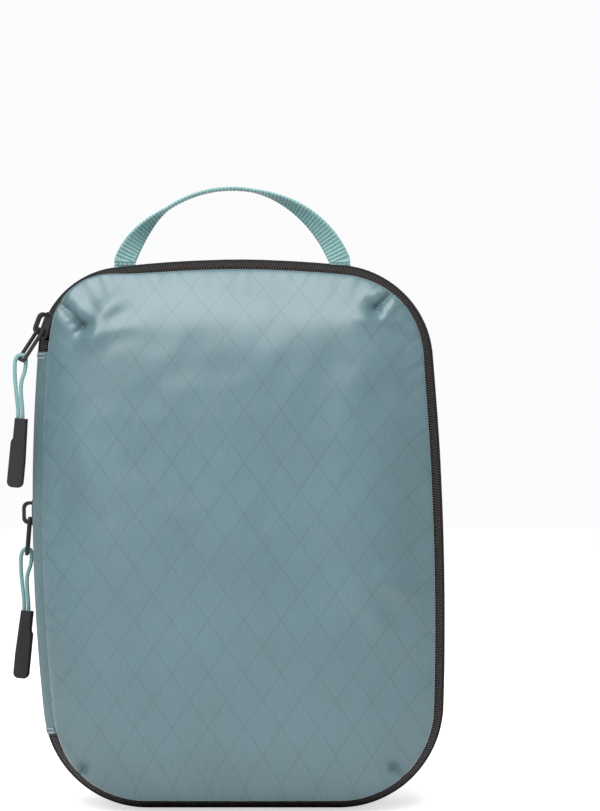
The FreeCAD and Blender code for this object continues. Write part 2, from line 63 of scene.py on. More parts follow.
# %% Sizes that the cloth shares with the frame
MM = 0.001
HALF_WIDTH = 98.0
HEIGHT = 260.0
BASE_RADIUS = 50.0
TOP_BOW = 3.0
LEFT_SIDE = {"belly": 146.0, "bow": 950.0, "corner": 42.0}
RIGHT_SIDE = {"belly": 88.0, "bow": 1400.0, "corner": 47.0}
FRONT_SEAM = (-25.0, 6.5)
GUSSET_FRONT = (-14.0, 0.6)
COMPRESSION_FRONT = (3.0, 0.0)
COMPRESSION_BACK = (15.0, 0.0)
BACK_SEAM = (36.0, 6.0)
BACK_BULGE = 6.0


def circles_cross(centre_a, radius_a, centre_b, radius_b):
    """Where two circles cross, on the side of larger x: go along the line of centres, then out."""
    ax, az = centre_a
    bx, bz = centre_b
    apart = math.hypot(bx - ax, bz - az)
    along = (radius_a**2 - radius_b**2 + apart**2) / (2 * apart)
    off = math.sqrt(radius_a**2 - along**2)
    ux, uz = (bx - ax) / apart, (bz - az) / apart
    return max((ax + along * ux + s * off * uz, az + along * uz - s * off * ux) for s in (-1, 1))


# %% The arcs of the outline
half_top = HALF_WIDTH - (LEFT_SIDE["corner"] + RIGHT_SIDE["corner"]) / 2
top_radius = (half_top**2 + TOP_BOW**2) / (2 * TOP_BOW)
top_centre = (0.0, HEIGHT - top_radius)


def side_arcs(side):
    """Low corner, bowed side and high corner as (centre, radius, start angle, end angle)."""
    bow, corner = side["bow"], side["corner"]
    centre = (HALF_WIDTH - bow, side["belly"])
    drop = side["belly"] - BASE_RADIUS
    low = (centre[0] + math.sqrt((bow - BASE_RADIUS) ** 2 - drop**2), BASE_RADIUS)
    high = circles_cross(centre, bow - corner, top_centre, top_radius - corner)
    low_angle = math.atan2(low[1] - centre[1], low[0] - centre[0])
    high_angle = math.atan2(high[1] - centre[1], high[0] - centre[0])
    top_angle = math.atan2(high[1] - top_centre[1], high[0] - top_centre[0])
    return [
        (low, BASE_RADIUS, -math.pi / 2, low_angle),
        (centre, bow, low_angle, high_angle),
        (high, corner, high_angle, top_angle),
    ]


def mirrored(arcs):
    """The same arcs on the other side, in reverse order, so that they carry on anticlockwise."""
    return [((-c[0], c[1]), r, math.pi - b, math.pi - a) for c, r, a, b in reversed(arcs)]


right_arcs = side_arcs(RIGHT_SIDE)
left_arcs = mirrored(side_arcs(LEFT_SIDE))
top_arc = (top_centre, top_radius, right_arcs[-1][3], left_arcs[0][2])
arcs = [*right_arcs, top_arc, *left_arcs]
base_left, base_right = left_arcs[-1][0][0], right_arcs[0][0][0]
piece_lengths = np.array([base_right - base_left] + [r * (b - a) for _, r, a, b in arcs])
piece_starts = np.concatenate([[0.0], np.cumsum(piece_lengths)])
ROUND = piece_starts[-1]
print("length round the outline", round(ROUND, 1), "mm")


def wall_point(s, y, inset):
    """A point of the wall. s mm round the outline picks an arc and an angle on it; the point is
    the arc's centre plus (radius - inset) times the outward direction. s, y, inset broadcast."""
    s, y, inset = np.broadcast_arrays(np.asarray(s, float) % ROUND, y, inset)
    k = np.clip(np.searchsorted(piece_starts, s, side="right") - 1, 0, len(arcs))
    share = (s - piece_starts[k]) / piece_lengths[k]
    cx = np.array([0.0] + [c[0] for c, _, _, _ in arcs])[k]
    cz = np.array([BASE_RADIUS] + [c[1] for c, _, _, _ in arcs])[k]
    radius = np.array([BASE_RADIUS] + [r for _, r, _, _ in arcs])[k]
    a0 = np.array([-math.pi / 2] + [a for _, _, a, _ in arcs])[k]
    a1 = np.array([-math.pi / 2] + [b for _, _, _, b in arcs])[k]
    angle = a0 + (a1 - a0) * share
    cx = np.where(k == 0, base_left + share * piece_lengths[0], cx)
    reach = radius - inset
    return np.stack([cx + reach * np.cos(angle), y, cz + reach * np.sin(angle)], -1)


outline_table = np.linspace(0, ROUND, 8001)
outline_xz = wall_point(outline_table, 0.0, 0.0)
on_left = (outline_xz[:, 0] < -40) & (outline_table > ROUND / 3)


def left_at(z):
    """How far round the outline a height on the left side is, read back from a fine table."""
    return float(np.interp(-z, -outline_xz[on_left, 2], outline_table[on_left]))


print("the left side runs from", round(left_at(216.0)), "down to", round(left_at(35.0)))

# %% [markdown]
# ## Turning grids of points into meshes
# Almost every piece here is a sheet or a tube: a grid of points that may close on itself one way
# or both. One helper makes the quads, stores the sewing coordinates (metres along the cloth) as
# a UV map, and another gives the piece its body and its materials.


# %% Grid helper
def grid_faces(rows, columns, wrap_rows, wrap_columns):
    """Quads of a grid: each takes a point, the next along, and the two beside them."""
    i = np.arange(rows if wrap_rows else rows - 1)
    j = np.arange(columns if wrap_columns else columns - 1)
    i, j = (a.ravel() for a in np.meshgrid(i, j, indexing="ij"))
    i2, j2 = (i + 1) % rows, (j + 1) % columns
    return np.stack([i * columns + j, i2 * columns + j, i2 * columns + j2, i * columns + j2], 1)


def grid_uv(uv, faces_shape):
    """The UV of each quad's corners, from an array one longer than the grid where it wraps."""
    i = np.arange(faces_shape[0])
    j = np.arange(faces_shape[1])
    i, j = (a.ravel() for a in np.meshgrid(i, j, indexing="ij"))
    return np.stack([uv[i, j], uv[i + 1, j], uv[i + 1, j + 1], uv[i, j + 1]], 1)


def make_object(name, points, faces, loop_uv=None, smooth=True):
    """A mesh object at the origin. points are in mm, faces index them."""
    mesh = bpy.data.meshes.new(name)
    mesh.from_pydata((np.asarray(points).reshape(-1, 3) * MM).tolist(), [], faces.tolist())
    if loop_uv is not None:
        layer = mesh.uv_layers.new(name="cloth")
        layer.data.foreach_set("uv", np.asarray(loop_uv, np.float32).ravel())
    if smooth:
        mesh.polygons.foreach_set("use_smooth", np.ones(len(mesh.polygons), bool))
    mesh.update()
    piece = bpy.data.objects.new(name, mesh)
    bpy.context.collection.objects.link(piece)
    return piece


def grid_piece(name, points, uv, wrap=(False, False), flip=False):
    """A piece from a rows x columns x 3 grid of points in mm, and UVs in metres."""
    rows, columns = points.shape[:2]
    faces = grid_faces(rows, columns, *wrap)
    loop_uv = grid_uv(uv, (rows - (not wrap[0]), columns - (not wrap[1])))
    if flip:
        faces, loop_uv = faces[:, ::-1], loop_uv[:, ::-1]
    return make_object(name, points, faces, loop_uv)


def finish_piece(piece, body, slot, materials, *nodes):
    """Gives a piece its materials, its body and the CAD nodes it replaces. A piece that
    blends between two bodies has no body of its own here. The slot argument is not used."""
    for material in materials if isinstance(materials, (list, tuple)) else [materials]:
        piece.data.materials.append(material)
    if body:
        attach(piece, body)
    if nodes:
        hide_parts(*nodes)
    print(piece.name, len(piece.data.polygons), "faces")
    return piece


SHELL = 0.9


def thicken(piece):
    """Gives a sheet the shell's thickness inwards, with its inner side in the lining's slot."""
    solid = piece.modifiers.new("thickness", "SOLIDIFY")
    solid.thickness = SHELL * MM
    solid.offset = -1
    solid.use_even_offset = False
    solid.material_offset = 1
    return piece


# %% [markdown]
# ## Camera, lights and floor
# The cube is seen square from the front, from a little over a metre, at the height of its upper
# half. The light is that of a product table: one large soft source overhead and in front, weaker
# ones from the left and right, and pale surroundings that fill the shadows. The paper floor and
# the surroundings look brighter to the camera than the light they give, so the cube keeps its
# own shading on a white ground.

# %% Camera
VIEW_DISTANCE = 1.30
SHOWN_HEIGHT = 0.3813
camera_data = bpy.data.cameras.new("camera")
camera_data.lens = 36.0 * VIEW_DISTANCE / SHOWN_HEIGHT
camera_data.clip_end = 20.0
camera = bpy.data.objects.new("camera", camera_data)
camera.location = (0.029, -VIEW_DISTANCE - 0.02, 0.1905)
camera.rotation_euler = (math.pi / 2, 0.0, 0.0)
bpy.context.collection.objects.link(camera)
bpy.context.scene.camera = camera
bpy.context.scene.view_settings.view_transform = "Standard"
print("lens", round(camera_data.lens, 1), "mm")


# %% Lights, surroundings and floor
def area_light(name, place, target, size, power, tint=(1.0, 1.0, 1.0)):
    """A square soft light at place that faces target."""
    data = bpy.data.lights.new(name, "AREA")
    data.size = size
    data.energy = power
    data.color = tint
    lamp = bpy.data.objects.new(name, data)
    lamp.location = place
    direction = np.subtract(target, place)
    level = math.hypot(direction[0], direction[1])
    lamp.rotation_euler = (
        math.atan2(level, -direction[2]), 0.0, math.atan2(-direction[0], direction[1])
    )
    bpy.context.collection.objects.link(lamp)
    return lamp


area_light("overhead", (-0.12, -0.62, 1.10), (0.0, -0.03, 0.15), 1.15, 21.0, (1.0, 0.985, 0.975))
area_light("left_fill", (-1.1, -1.3, 0.9), (0.0, 0.0, 0.12), 0.8, 6.0, (0.98, 0.99, 1.0))
area_light("right_fill", (1.3, -0.8, 0.7), (0.0, 0.0, 0.12), 0.7, 2.0)

world = bpy.data.worlds.new("studio")
world.use_nodes = True
sky = world.node_tree
sky.nodes["Background"].inputs["Color"].default_value = (0.93, 0.95, 0.97, 1)
sky.nodes["Background"].inputs["Strength"].default_value = 0.42
paper = sky.nodes.new("ShaderNodeBackground")
paper.inputs["Color"].default_value = (0.97, 0.97, 0.98, 1)
seen = sky.nodes.new("ShaderNodeLightPath")
either = sky.nodes.new("ShaderNodeMixShader")
sky.links.new(seen.outputs["Is Camera Ray"], either.inputs[0])
sky.links.new(sky.nodes["Background"].outputs[0], either.inputs[1])
sky.links.new(paper.outputs[0], either.inputs[2])
sky.links.new(either.outputs[0], sky.nodes["World Output"].inputs["Surface"])
bpy.context.scene.world = world

floor_points = np.array([[-3000, -3000, 0], [3000, -3000, 0], [3000, 3000, 0], [-3000, 3000, 0]])
floor = make_object("floor", floor_points, np.array([[0, 1, 2, 3]]), smooth=False)

# %% [markdown]
# ## Small tools for materials
# Each finish is a Principled shader fed by a few noises and waves. Two short helpers add a node
# with its values and wire it, so that the recipe of a finish reads as a list.


# %% Node helpers
def feed(tree, socket, value):
    """Wires another node's output into a socket, or sets a plain value on it."""
    if isinstance(value, bpy.types.NodeSocket):
        tree.links.new(value, socket)
    else:
        socket.default_value = value


def node(tree, kind, inputs=None, **settings):
    """Adds a node, sets its properties, and fills or links its inputs by name or number."""
    made = tree.nodes.new(kind)
    for key, value in settings.items():
        setattr(made, key, value)
    for key, value in (inputs or {}).items():
        feed(tree, made.inputs[key], value)
    return made


def maths(tree, operation, a, b=0.0, c=0.0, clamp=False):
    """One arithmetic step on up to three values."""
    made = node(tree, "ShaderNodeMath", {0: a, 1: b, 2: c}, operation=operation)
    made.use_clamp = clamp
    return made.outputs[0]


def blend_colour(tree, share, low, high):
    """Mixes two colours by a share."""
    mix = node(tree, "ShaderNodeMix", data_type="RGBA", blend_type="MIX")
    for socket, value in ((mix.inputs[0], share), (mix.inputs[6], low), (mix.inputs[7], high)):
        feed(tree, socket, value)
    return mix.outputs[2]


def group_tree(name, inputs, outputs):
    """An empty node group with named inputs, each (name, type, default), and outputs."""
    tree = bpy.data.node_groups.new(name, "ShaderNodeTree")
    for label, kind, default in inputs:
        socket = tree.interface.new_socket(label, in_out="INPUT", socket_type=kind)
        if default is not None:
            socket.default_value = default
    for label, kind in outputs:
        tree.interface.new_socket(label, in_out="OUTPUT", socket_type=kind)
    return tree, tree.nodes.new("NodeGroupInput"), tree.nodes.new("NodeGroupOutput")


def use_group(tree, group, inputs):
    """Places a group in a tree and feeds its inputs."""
    made = tree.nodes.new("ShaderNodeGroup")
    made.node_tree = group
    for key, value in inputs.items():
        feed(tree, made.inputs[key], value)
    return made


def new_material(name, **shader_values):
    """A material with a Principled shader whose constant values are set on its own sockets."""
    material = bpy.data.materials.new(name)
    material.use_nodes = True
    tree = material.node_tree
    shader = tree.nodes["Principled BSDF"]
    for key, value in shader_values.items():
        shader.inputs[key.replace("_", " ")].default_value = value
    return material, tree, shader


FLOAT, VECTOR = "NodeSocketFloat", "NodeSocketVector"

# %% [markdown]
# ## Woven cloth
# Nylon cloth shows uneven threads one way and finer ones across. The group stretches one noise
# along each direction: a tall thin noise gives the warp, a wide flat one the weft. It puts out a
# height for the bump and a tone for the colour. Coordinates are metres along the cloth.

# %% Group: woven threads
threads, inside, out = group_tree(
    "woven threads",
    [
        ("Cloth", VECTOR, None), ("Thread mm", FLOAT, 0.5), ("Slub mm", FLOAT, 14.0),
        ("Weft share", FLOAT, 0.4),
    ],
    [("Height", FLOAT), ("Tone", FLOAT)],
)


def streaks(tree, source, along_x, thread, slub, detail):
    """Noise stretched into threads: cells are thread mm one way and slub mm the other."""
    split = node(tree, "ShaderNodeSeparateXYZ", {0: source})
    fine = maths(tree, "DIVIDE", 1000.0, thread)
    coarse = maths(tree, "DIVIDE", 1000.0, slub)
    x = maths(tree, "MULTIPLY", split.outputs[0], fine if along_x else coarse)
    y = maths(tree, "MULTIPLY", split.outputs[1], coarse if along_x else fine)
    place = node(tree, "ShaderNodeCombineXYZ", {0: x, 1: y})
    noise = node(
        tree, "ShaderNodeTexNoise",
        {"Vector": place.outputs[0], "Scale": 1.0, "Detail": detail, "Roughness": 0.55},
    )
    return noise.outputs["Fac"]


warp = streaks(threads, inside.outputs["Cloth"], True, inside.outputs["Thread mm"],
               inside.outputs["Slub mm"], 2.0)
weft = streaks(threads, inside.outputs["Cloth"], False, inside.outputs["Thread mm"],
               inside.outputs["Slub mm"], 2.0)
weft_part = maths(threads, "MULTIPLY", weft, inside.outputs["Weft share"])
sum_threads = maths(threads, "ADD", warp, weft_part)
threads.links.new(sum_threads, out.inputs["Height"])
threads.links.new(warp, out.inputs["Tone"])

# %% [markdown]
# ## The ripstop grid
# Ripstop cloth carries thicker threads that cross as diamonds and show as rows of small dots.
# Two slanting coordinates, a and b, count the diamonds each way. A point lies on a line where a
# or b is halfway between whole numbers; counting along the other coordinate breaks the line into
# dots.

# %% Group: ripstop grid
ripstop, inside, out = group_tree(
    "ripstop grid",
    [
        ("Cloth", VECTOR, None), ("Cell width mm", FLOAT, 16.8), ("Cell height mm", FLOAT, 24.3),
        ("Line mm", FLOAT, 0.62), ("Dots", FLOAT, 13.0),
    ],
    [("Dots", FLOAT)],
)
split = node(ripstop, "ShaderNodeSeparateXYZ", {0: inside.outputs["Cloth"]})
across = maths(ripstop, "DIVIDE", maths(ripstop, "MULTIPLY", split.outputs[0], 1000.0),
               inside.outputs["Cell width mm"])
upward = maths(ripstop, "DIVIDE", maths(ripstop, "MULTIPLY", split.outputs[1], 1000.0),
               inside.outputs["Cell height mm"])
slant_a = maths(ripstop, "ADD", across, upward)
slant_b = maths(ripstop, "SUBTRACT", across, upward)
LINE_SPACING = 13.8


def dotted_line(along, beside):
    """1 on a dot, 0 off it. The distance to the line is read from beside, the dots from along."""
    off = maths(ripstop, "SUBTRACT", maths(ripstop, "FRACT", beside), 0.5)
    off = maths(ripstop, "ABSOLUTE", off)
    off = maths(ripstop, "MULTIPLY", off, LINE_SPACING)
    near = node(ripstop, "ShaderNodeMapRange", {
        0: off, 1: 0.0, 2: inside.outputs["Line mm"], 3: 1.0, 4: 0.0,
    }, interpolation_type="SMOOTHSTEP").outputs[0]
    beat = maths(ripstop, "MULTIPLY", along, inside.outputs["Dots"])
    beat = maths(ripstop, "SINE", maths(ripstop, "MULTIPLY", beat, 2 * math.pi))
    dot = maths(ripstop, "MULTIPLY_ADD", beat, 0.5, 0.5)
    return maths(ripstop, "MULTIPLY", near, maths(ripstop, "MULTIPLY_ADD", dot, 0.85, 0.15))


dots = maths(ripstop, "MAXIMUM", dotted_line(slant_a, slant_b), dotted_line(slant_b, slant_a))
ripstop.links.new(dots, out.inputs["Dots"])

# %% [markdown]
# ## Soft wear
# Used cloth and plastic are never one even tone. A slow noise lightens and darkens them a little,
# and the same group serves every finish.

# %% Group: soft wear
wear, inside, out = group_tree(
    "soft wear", [("Place", VECTOR, None), ("Patch mm", FLOAT, 40.0)], [("Tone", FLOAT)]
)
scale = maths(wear, "DIVIDE", 1000.0, inside.outputs["Patch mm"])
patches = node(wear, "ShaderNodeTexNoise", {
    "Vector": inside.outputs["Place"], "Scale": scale, "Detail": 4.0, "Roughness": 0.6,
})
wear.links.new(patches.outputs["Fac"], out.inputs["Tone"])


# %% Cloth materials
def cloth_material(name, colour, grid=True, thread=0.45, shade=0.11, bump=0.05, roughness=0.5,
                   sheen=0.3, weft_share=0.4, specular=0.45, ribs=0.0):
    """Woven cloth: streaky tone, optional ripstop dots, slow patches, and a bump from both. With
    ribs, a wave along the run paints shade between the ribs.
    """
    material, tree, shader = new_material(
        name, Sheen_Weight=sheen, Sheen_Roughness=0.35, Specular_IOR_Level=specular
    )
    place = node(tree, "ShaderNodeTexCoord").outputs["UV"]
    solid = node(tree, "ShaderNodeTexCoord").outputs["Object"]
    yarn = use_group(tree, threads, {
        "Cloth": place, "Thread mm": thread, "Slub mm": 11.0, "Weft share": weft_share
    })
    patch = use_group(tree, wear, {"Place": solid, "Patch mm": 45.0}).outputs["Tone"]
    dark = tuple(c * (1 - shade) for c in colour) + (1.0,)
    light = tuple(min(1.0, c * (1 + shade)) for c in colour) + (1.0,)
    half_yarn = maths(tree, "MULTIPLY", yarn.outputs["Tone"], 0.5)
    tone = maths(tree, "MULTIPLY_ADD", patch, 0.5, half_yarn)
    tone = node(tree, "ShaderNodeMapRange", {0: tone, 1: 0.36, 2: 0.64, 3: 0.0, 4: 1.0}).outputs[0]
    base = blend_colour(tree, tone, dark, light)
    height = yarn.outputs["Height"]
    if ribs:
        # Painted shade: a wave along the run darkens the colour between the ribs, where the grooves
        # lie in shade.
        line = node(tree, "ShaderNodeSeparateXYZ", {0: place}).outputs[1]
        rib = maths(tree, "SINE", maths(tree, "MULTIPLY", line, 2000 * math.pi / ribs))
        rib = maths(tree, "MULTIPLY_ADD", rib, 0.5, 0.5)
        base = blend_colour(tree, maths(tree, "MULTIPLY", rib, 0.7), base,
                            tuple(c * 0.36 for c in colour) + (1.0,))
    if grid:
        dots = use_group(tree, ripstop, {"Cloth": place}).outputs["Dots"]
        base = blend_colour(tree, maths(tree, "MULTIPLY", dots, 0.62), base,
                            tuple(c * 0.45 for c in colour) + (1.0,))
        height = maths(tree, "MULTIPLY_ADD", dots, -0.8, height)
    tree.links.new(base, shader.inputs["Base Color"])
    rough = maths(tree, "MULTIPLY_ADD", yarn.outputs["Tone"], 0.16, roughness - 0.08)
    tree.links.new(rough, shader.inputs["Roughness"])
    bumped = node(tree, "ShaderNodeBump", {
        "Height": height, "Distance": bump * MM, "Strength": 1.0
    })
    tree.links.new(bumped.outputs[0], shader.inputs["Normal"])
    return material


TEAL = (0.060, 0.126, 0.146)
shell_cloth = cloth_material("ripstop_shell", TEAL, roughness=0.47, sheen=0.34, specular=1.0)
lining_cloth = cloth_material("ripstop_lining", (0.10, 0.18, 0.20), grid=False, roughness=0.6)
expansion_cloth = cloth_material("expansion_gusset_cloth", (0.075, 0.16, 0.185), grid=False)
# The strip is the shell's own cloth; its separate colour is painted shading, matched to how the
# strip looks on the shaded left side.
strip_cloth = cloth_material("hinge_strip_cloth", (0.075, 0.14, 0.16), thread=0.6, bump=0.08,
                             sheen=0.06)
# ribs=1.7 paints shade between the webbing's ribs.
webbing_cloth = cloth_material("webbing_weave", (0.20, 0.385, 0.38), grid=False, thread=0.9,
                               bump=0.04, roughness=0.6, sheen=0.5, weft_share=0.9, ribs=1.7)
cord_cloth = cloth_material("cord_braid", (0.15, 0.30, 0.30), grid=False, thread=0.35, bump=0.1,
                            roughness=0.6, sheen=0.6, weft_share=0.8)
thread_cloth = cloth_material("sewing_thread", (0.085, 0.145, 0.16), grid=False, thread=0.2,
                              bump=0.03, roughness=0.6, sheen=0.05)
pale_thread = cloth_material("pale_sewing_thread", (0.50, 0.60, 0.60), grid=False, thread=0.2,
                             bump=0.03, roughness=0.5)

# %% [markdown]
# ## Tape, coil, metal and rubber
# The zipper tape and the seam binding are black and ribbed. A wave across the tape gives the
# ribs. The coil is dark nylon with a slight shine. The sliders and tabs are painted metal, with
# paint that has rubbed thin in spots, and the grips are matte rubber with a fine moulded grain.


# %% Ribbed tape and binding
def ribbed_material(name, colour, rib_mm, along_x, bump, roughness=0.75):
    """Black woven tape: a sine wave of ribs one way, broken up by thread noise. The colour follows
    the same wave, lighter on the ribs and darker between them, which is painted light and shade;
    the thread noise is the tape's own tone.
    """
    material, tree, shader = new_material(name, Sheen_Weight=0.05, Sheen_Roughness=0.5,
                                          Specular_IOR_Level=0.2)
    place = node(tree, "ShaderNodeTexCoord").outputs["UV"]
    split = node(tree, "ShaderNodeSeparateXYZ", {0: place})
    line = split.outputs[0 if along_x else 1]
    wave = maths(tree, "SINE", maths(tree, "MULTIPLY", line, 2000 * math.pi / rib_mm))
    yarn = use_group(tree, threads, {"Cloth": place, "Thread mm": 0.4, "Slub mm": 3.0})
    height = maths(tree, "MULTIPLY_ADD", wave, 0.5, yarn.outputs["Height"])
    # Painted light and shade: the rib wave lightens the rib tops and darkens the grooves; the
    # thread tone added to it is real.
    share = maths(tree, "MULTIPLY_ADD", wave, 0.2, yarn.outputs["Tone"], clamp=True)
    base = blend_colour(tree, share, tuple(c * 0.6 for c in colour) + (1.0,),
                        tuple(c * 1.5 for c in colour) + (1.0,))
    tree.links.new(base, shader.inputs["Base Color"])
    tree.links.new(maths(tree, "MULTIPLY_ADD", yarn.outputs["Tone"], 0.2, roughness - 0.1),
                   shader.inputs["Roughness"])
    bumped = node(tree, "ShaderNodeBump", {"Height": height, "Distance": bump * MM})
    tree.links.new(bumped.outputs[0], shader.inputs["Normal"])
    return material


tape_weave = ribbed_material("zipper_tape_weave", (0.007, 0.007, 0.008), 0.9, False, 0.08)
binding_weave = ribbed_material("binding_grosgrain", (0.010, 0.010, 0.011), 0.8, True, 0.1)


# %% Hard finishes
def hard_material(name, colour, worn, worn_from, roughness, grain_mm, bump, **shader_values):
    """A hard finish: base colour, a worn colour in small spots, and a fine moulded grain."""
    material, tree, shader = new_material(name, **shader_values)
    solid = node(tree, "ShaderNodeTexCoord").outputs["Object"]
    spots = use_group(tree, wear, {"Place": solid, "Patch mm": 2.5}).outputs["Tone"]
    patch = use_group(tree, wear, {"Place": solid, "Patch mm": 12.0}).outputs["Tone"]
    mask = node(tree, "ShaderNodeMapRange", {0: spots, 1: worn_from, 2: worn_from + 0.08})
    even = blend_colour(tree, patch, tuple(c * 0.75 for c in colour) + (1.0,),
                        tuple(c * 1.3 for c in colour) + (1.0,))
    base = blend_colour(tree, mask.outputs[0], even, tuple(worn) + (1.0,))
    tree.links.new(base, shader.inputs["Base Color"])
    tree.links.new(maths(tree, "MULTIPLY_ADD", patch, 0.2, roughness - 0.1),
                   shader.inputs["Roughness"])
    grain = use_group(tree, wear, {"Place": solid, "Patch mm": grain_mm}).outputs["Tone"]
    bumped = node(tree, "ShaderNodeBump", {"Height": grain, "Distance": bump * MM})
    tree.links.new(bumped.outputs[0], shader.inputs["Normal"])
    return material


coil_nylon = hard_material("coil_nylon", (0.026, 0.020, 0.018), (0.06, 0.05, 0.045), 0.62, 0.45,
                           0.3, 0.02, Specular_IOR_Level=0.35)
slider_paint = hard_material("slider_paint", (0.013, 0.013, 0.014), (0.10, 0.10, 0.10), 0.68,
                             0.42, 0.5, 0.015, Specular_IOR_Level=0.4)
grip_rubber = hard_material("grip_rubber", (0.014, 0.014, 0.015), (0.04, 0.04, 0.04), 0.66, 0.58,
                            0.35, 0.03, Specular_IOR_Level=0.3)

floor_paper, floor_tree, floor_shader = new_material(
    "floor_paper", Roughness=0.9, Emission_Strength=0.60
)
floor_place = node(floor_tree, "ShaderNodeTexCoord").outputs["Object"]
floor_tone = use_group(floor_tree, wear, {"Place": floor_place, "Patch mm": 300.0}).outputs["Tone"]
floor_tree.links.new(
    blend_colour(floor_tree, floor_tone, (0.90, 0.905, 0.91, 1), (0.94, 0.94, 0.945, 1)),
    floor_shader.inputs["Base Color"],
)
floor_seen = node(floor_tree, "ShaderNodeLightPath").outputs["Is Camera Ray"]
floor_tree.links.new(blend_colour(floor_tree, floor_seen, (0, 0, 0, 1), (1, 1, 1, 1)),
                     floor_shader.inputs["Emission Color"])
floor.data.materials.append(floor_paper)

# %% [markdown]
# ## Cord pulls
# Each pull is a 1.9 mm braided cord, doubled: it goes through the tab, round its lower bar, and
# both ends hang down into a rubber grip. A limp cord follows one smooth line, so its route is a
# NURBS spline whose control points are the route's corners. The braid could be a bump only, but a
# tube whose radius swells where strands cross shows its edge better against a pale ground.

# %% Route of a doubled cord
CORD = 1.9
PULL_BARS = {"main": (-101.797, -22.756, 211.909), "compression": (-102.102, 9.0, 119.333)}
# (how far down, how far out) of each control point, counted from the tab's lower bar
CORD_POINTS = [
    (32.5, 1.45), (24.0, 1.35), (16.0, 2.2), (8.0, 3.1), (-2.0, 3.0), (-2.6, -2.3), (4.5, -2.1),
    (10.5, 0.2), (17.0, 0.1), (24.5, -0.75), (32.5, -0.65),
]


def spline_path(name, points):
    """The points of an open quadratic NURBS spline, read from the curve's own mesh, in metres."""
    curve = bpy.data.curves.new(name, "CURVE")
    curve.dimensions = "3D"
    curve.resolution_u = 24
    spline = curve.splines.new("NURBS")
    spline.points.add(len(points) - 1)
    spline.points.foreach_set("co", np.c_[np.array(points), np.ones(len(points))].ravel())
    spline.order_u = 3
    spline.use_endpoint_u = True
    holder = bpy.data.objects.new(name, curve)
    mesh = bpy.data.meshes.new_from_object(holder)
    path = np.empty(len(mesh.vertices) * 3)
    mesh.vertices.foreach_get("co", path)
    bpy.data.objects.remove(holder)
    bpy.data.meshes.remove(mesh)
    return path.reshape(-1, 3)


def run_lengths(path):
    """How far each point lies along a path: the running sum of the steps between points."""
    return np.concatenate([[0.0], np.cumsum(np.linalg.norm(np.diff(path, axis=0), axis=1))])


def spaced_path(path, step):
    """The same line with points an even step apart, by linear reading between its points."""
    run = run_lengths(path)
    even = np.linspace(0, run[-1], int(run[-1] / step) + 1)
    return np.stack([np.interp(even, run, path[:, k]) for k in range(3)], 1), even


# %% The braided tube
def tube_round(path, radius, sides):
    """A tube: at each path point, a circle of that radius in the plane across the path. radius
    is an array of path points by sides, so that it can swell round the tube as well as along."""
    along = np.gradient(path, axis=0)
    along /= np.linalg.norm(along, axis=1)[:, None]
    level = np.tile([0.0, 1.0, 0.0], (len(path), 1))
    across = np.cross(along, level)
    turn = np.linspace(0, 2 * np.pi, sides, endpoint=False)
    ring = np.cos(turn)[:, None] * level[:, None] + np.sin(turn)[:, None] * across[:, None]
    return path[:, None] + ring * radius[..., None]


def braid_radius(run, sides, thickness, plait=2.6, swell=0.06):
    """Radius of a braid: two sets of strands wind opposite ways, and whichever is on top shows."""
    turn = np.linspace(0, 2 * np.pi, sides, endpoint=False)[None, :]
    wind = 2 * np.pi * run[:, None] / plait
    one, other = np.cos(3 * turn + wind), np.cos(3 * turn - wind)
    return thickness / 2 * (0.96 + swell * np.maximum(one, other))


def closed_ends(grid):
    """Closes a tube by drawing a copy of each end ring in to its middle."""
    first, last = grid[0].mean(0), grid[-1].mean(0)
    start = first + (grid[0] - first) * 0.01
    end = last + (grid[-1] - last) * 0.01
    return np.concatenate([start[None], grid, end[None]])


CORD_SIDES = 18
for pull, bar in PULL_BARS.items():
    control = [
        ((bar[0] - out) * MM, bar[1] * MM, (bar[2] - down) * MM) for down, out in CORD_POINTS
    ]
    path, run = spaced_path(spline_path(f"{pull}_cord_route", control) / MM, 0.2)
    tube = closed_ends(tube_round(path, braid_radius(run, CORD_SIDES, CORD), CORD_SIDES))
    lap = np.linspace(0, math.pi * CORD, CORD_SIDES + 1)[None, :] * MM
    uv = np.stack(np.broadcast_arrays(lap, np.r_[0, run, run[-1]][:, None] * MM), -1)
    cord = grid_piece(f"{pull}_pull_cord_braid", tube, uv, wrap=(False, True))
    finish_piece(cord, f"{pull}_pull_end", "pull_cord", cord_cloth, f"{pull}_pull_cord")
    print(pull, "cord", round(run[-1], 1), "mm long")

# %% [markdown]
# ## Where things stop on the outline
# The hinge strip takes the place of the main zipper on the left side, and each parked slider
# leaves a gap in the front half of its chain. Distances along the outline are worked out once.

# %% Zipper bands and their stops
def band_place(front_edge, back_edge):
    """Middle, lean and half width of a band between two (y, inset) edges."""
    y, inset = (front_edge[0] + back_edge[0]) / 2, (front_edge[1] + back_edge[1]) / 2
    drop, wide = front_edge[1] - back_edge[1], back_edge[0] - front_edge[0]
    return y, inset, math.atan2(drop, wide), math.hypot(wide, drop) / 2


MAIN = band_place(FRONT_SEAM, GUSSET_FRONT)
COMPRESSION = band_place(COMPRESSION_FRONT, COMPRESSION_BACK)


def in_band(band, across, deep):
    """(y, inset) of a point of a band: from its middle go across along its lean, and deep square
    to it. across and deep may be arrays."""
    y, inset, lean, _ = band
    return (
        y + across * math.cos(lean) + deep * math.sin(lean),
        inset - across * math.sin(lean) + deep * math.cos(lean),
    )


STRIP_BOTTOM, STRIP_TOP = 35.0, 216.0
strip_s = (left_at(STRIP_TOP), left_at(STRIP_BOTTOM))
corner_high = left_arcs[0]
main_park_s = piece_starts[5] + corner_high[1] * (math.pi - math.radians(20) - corner_high[2])
compression_park_s = left_at(139.0)
PARK = 12.5 / 2 + 1.2
print("strip", strip_s, "main slider", main_park_s, "compression slider", compression_park_s)


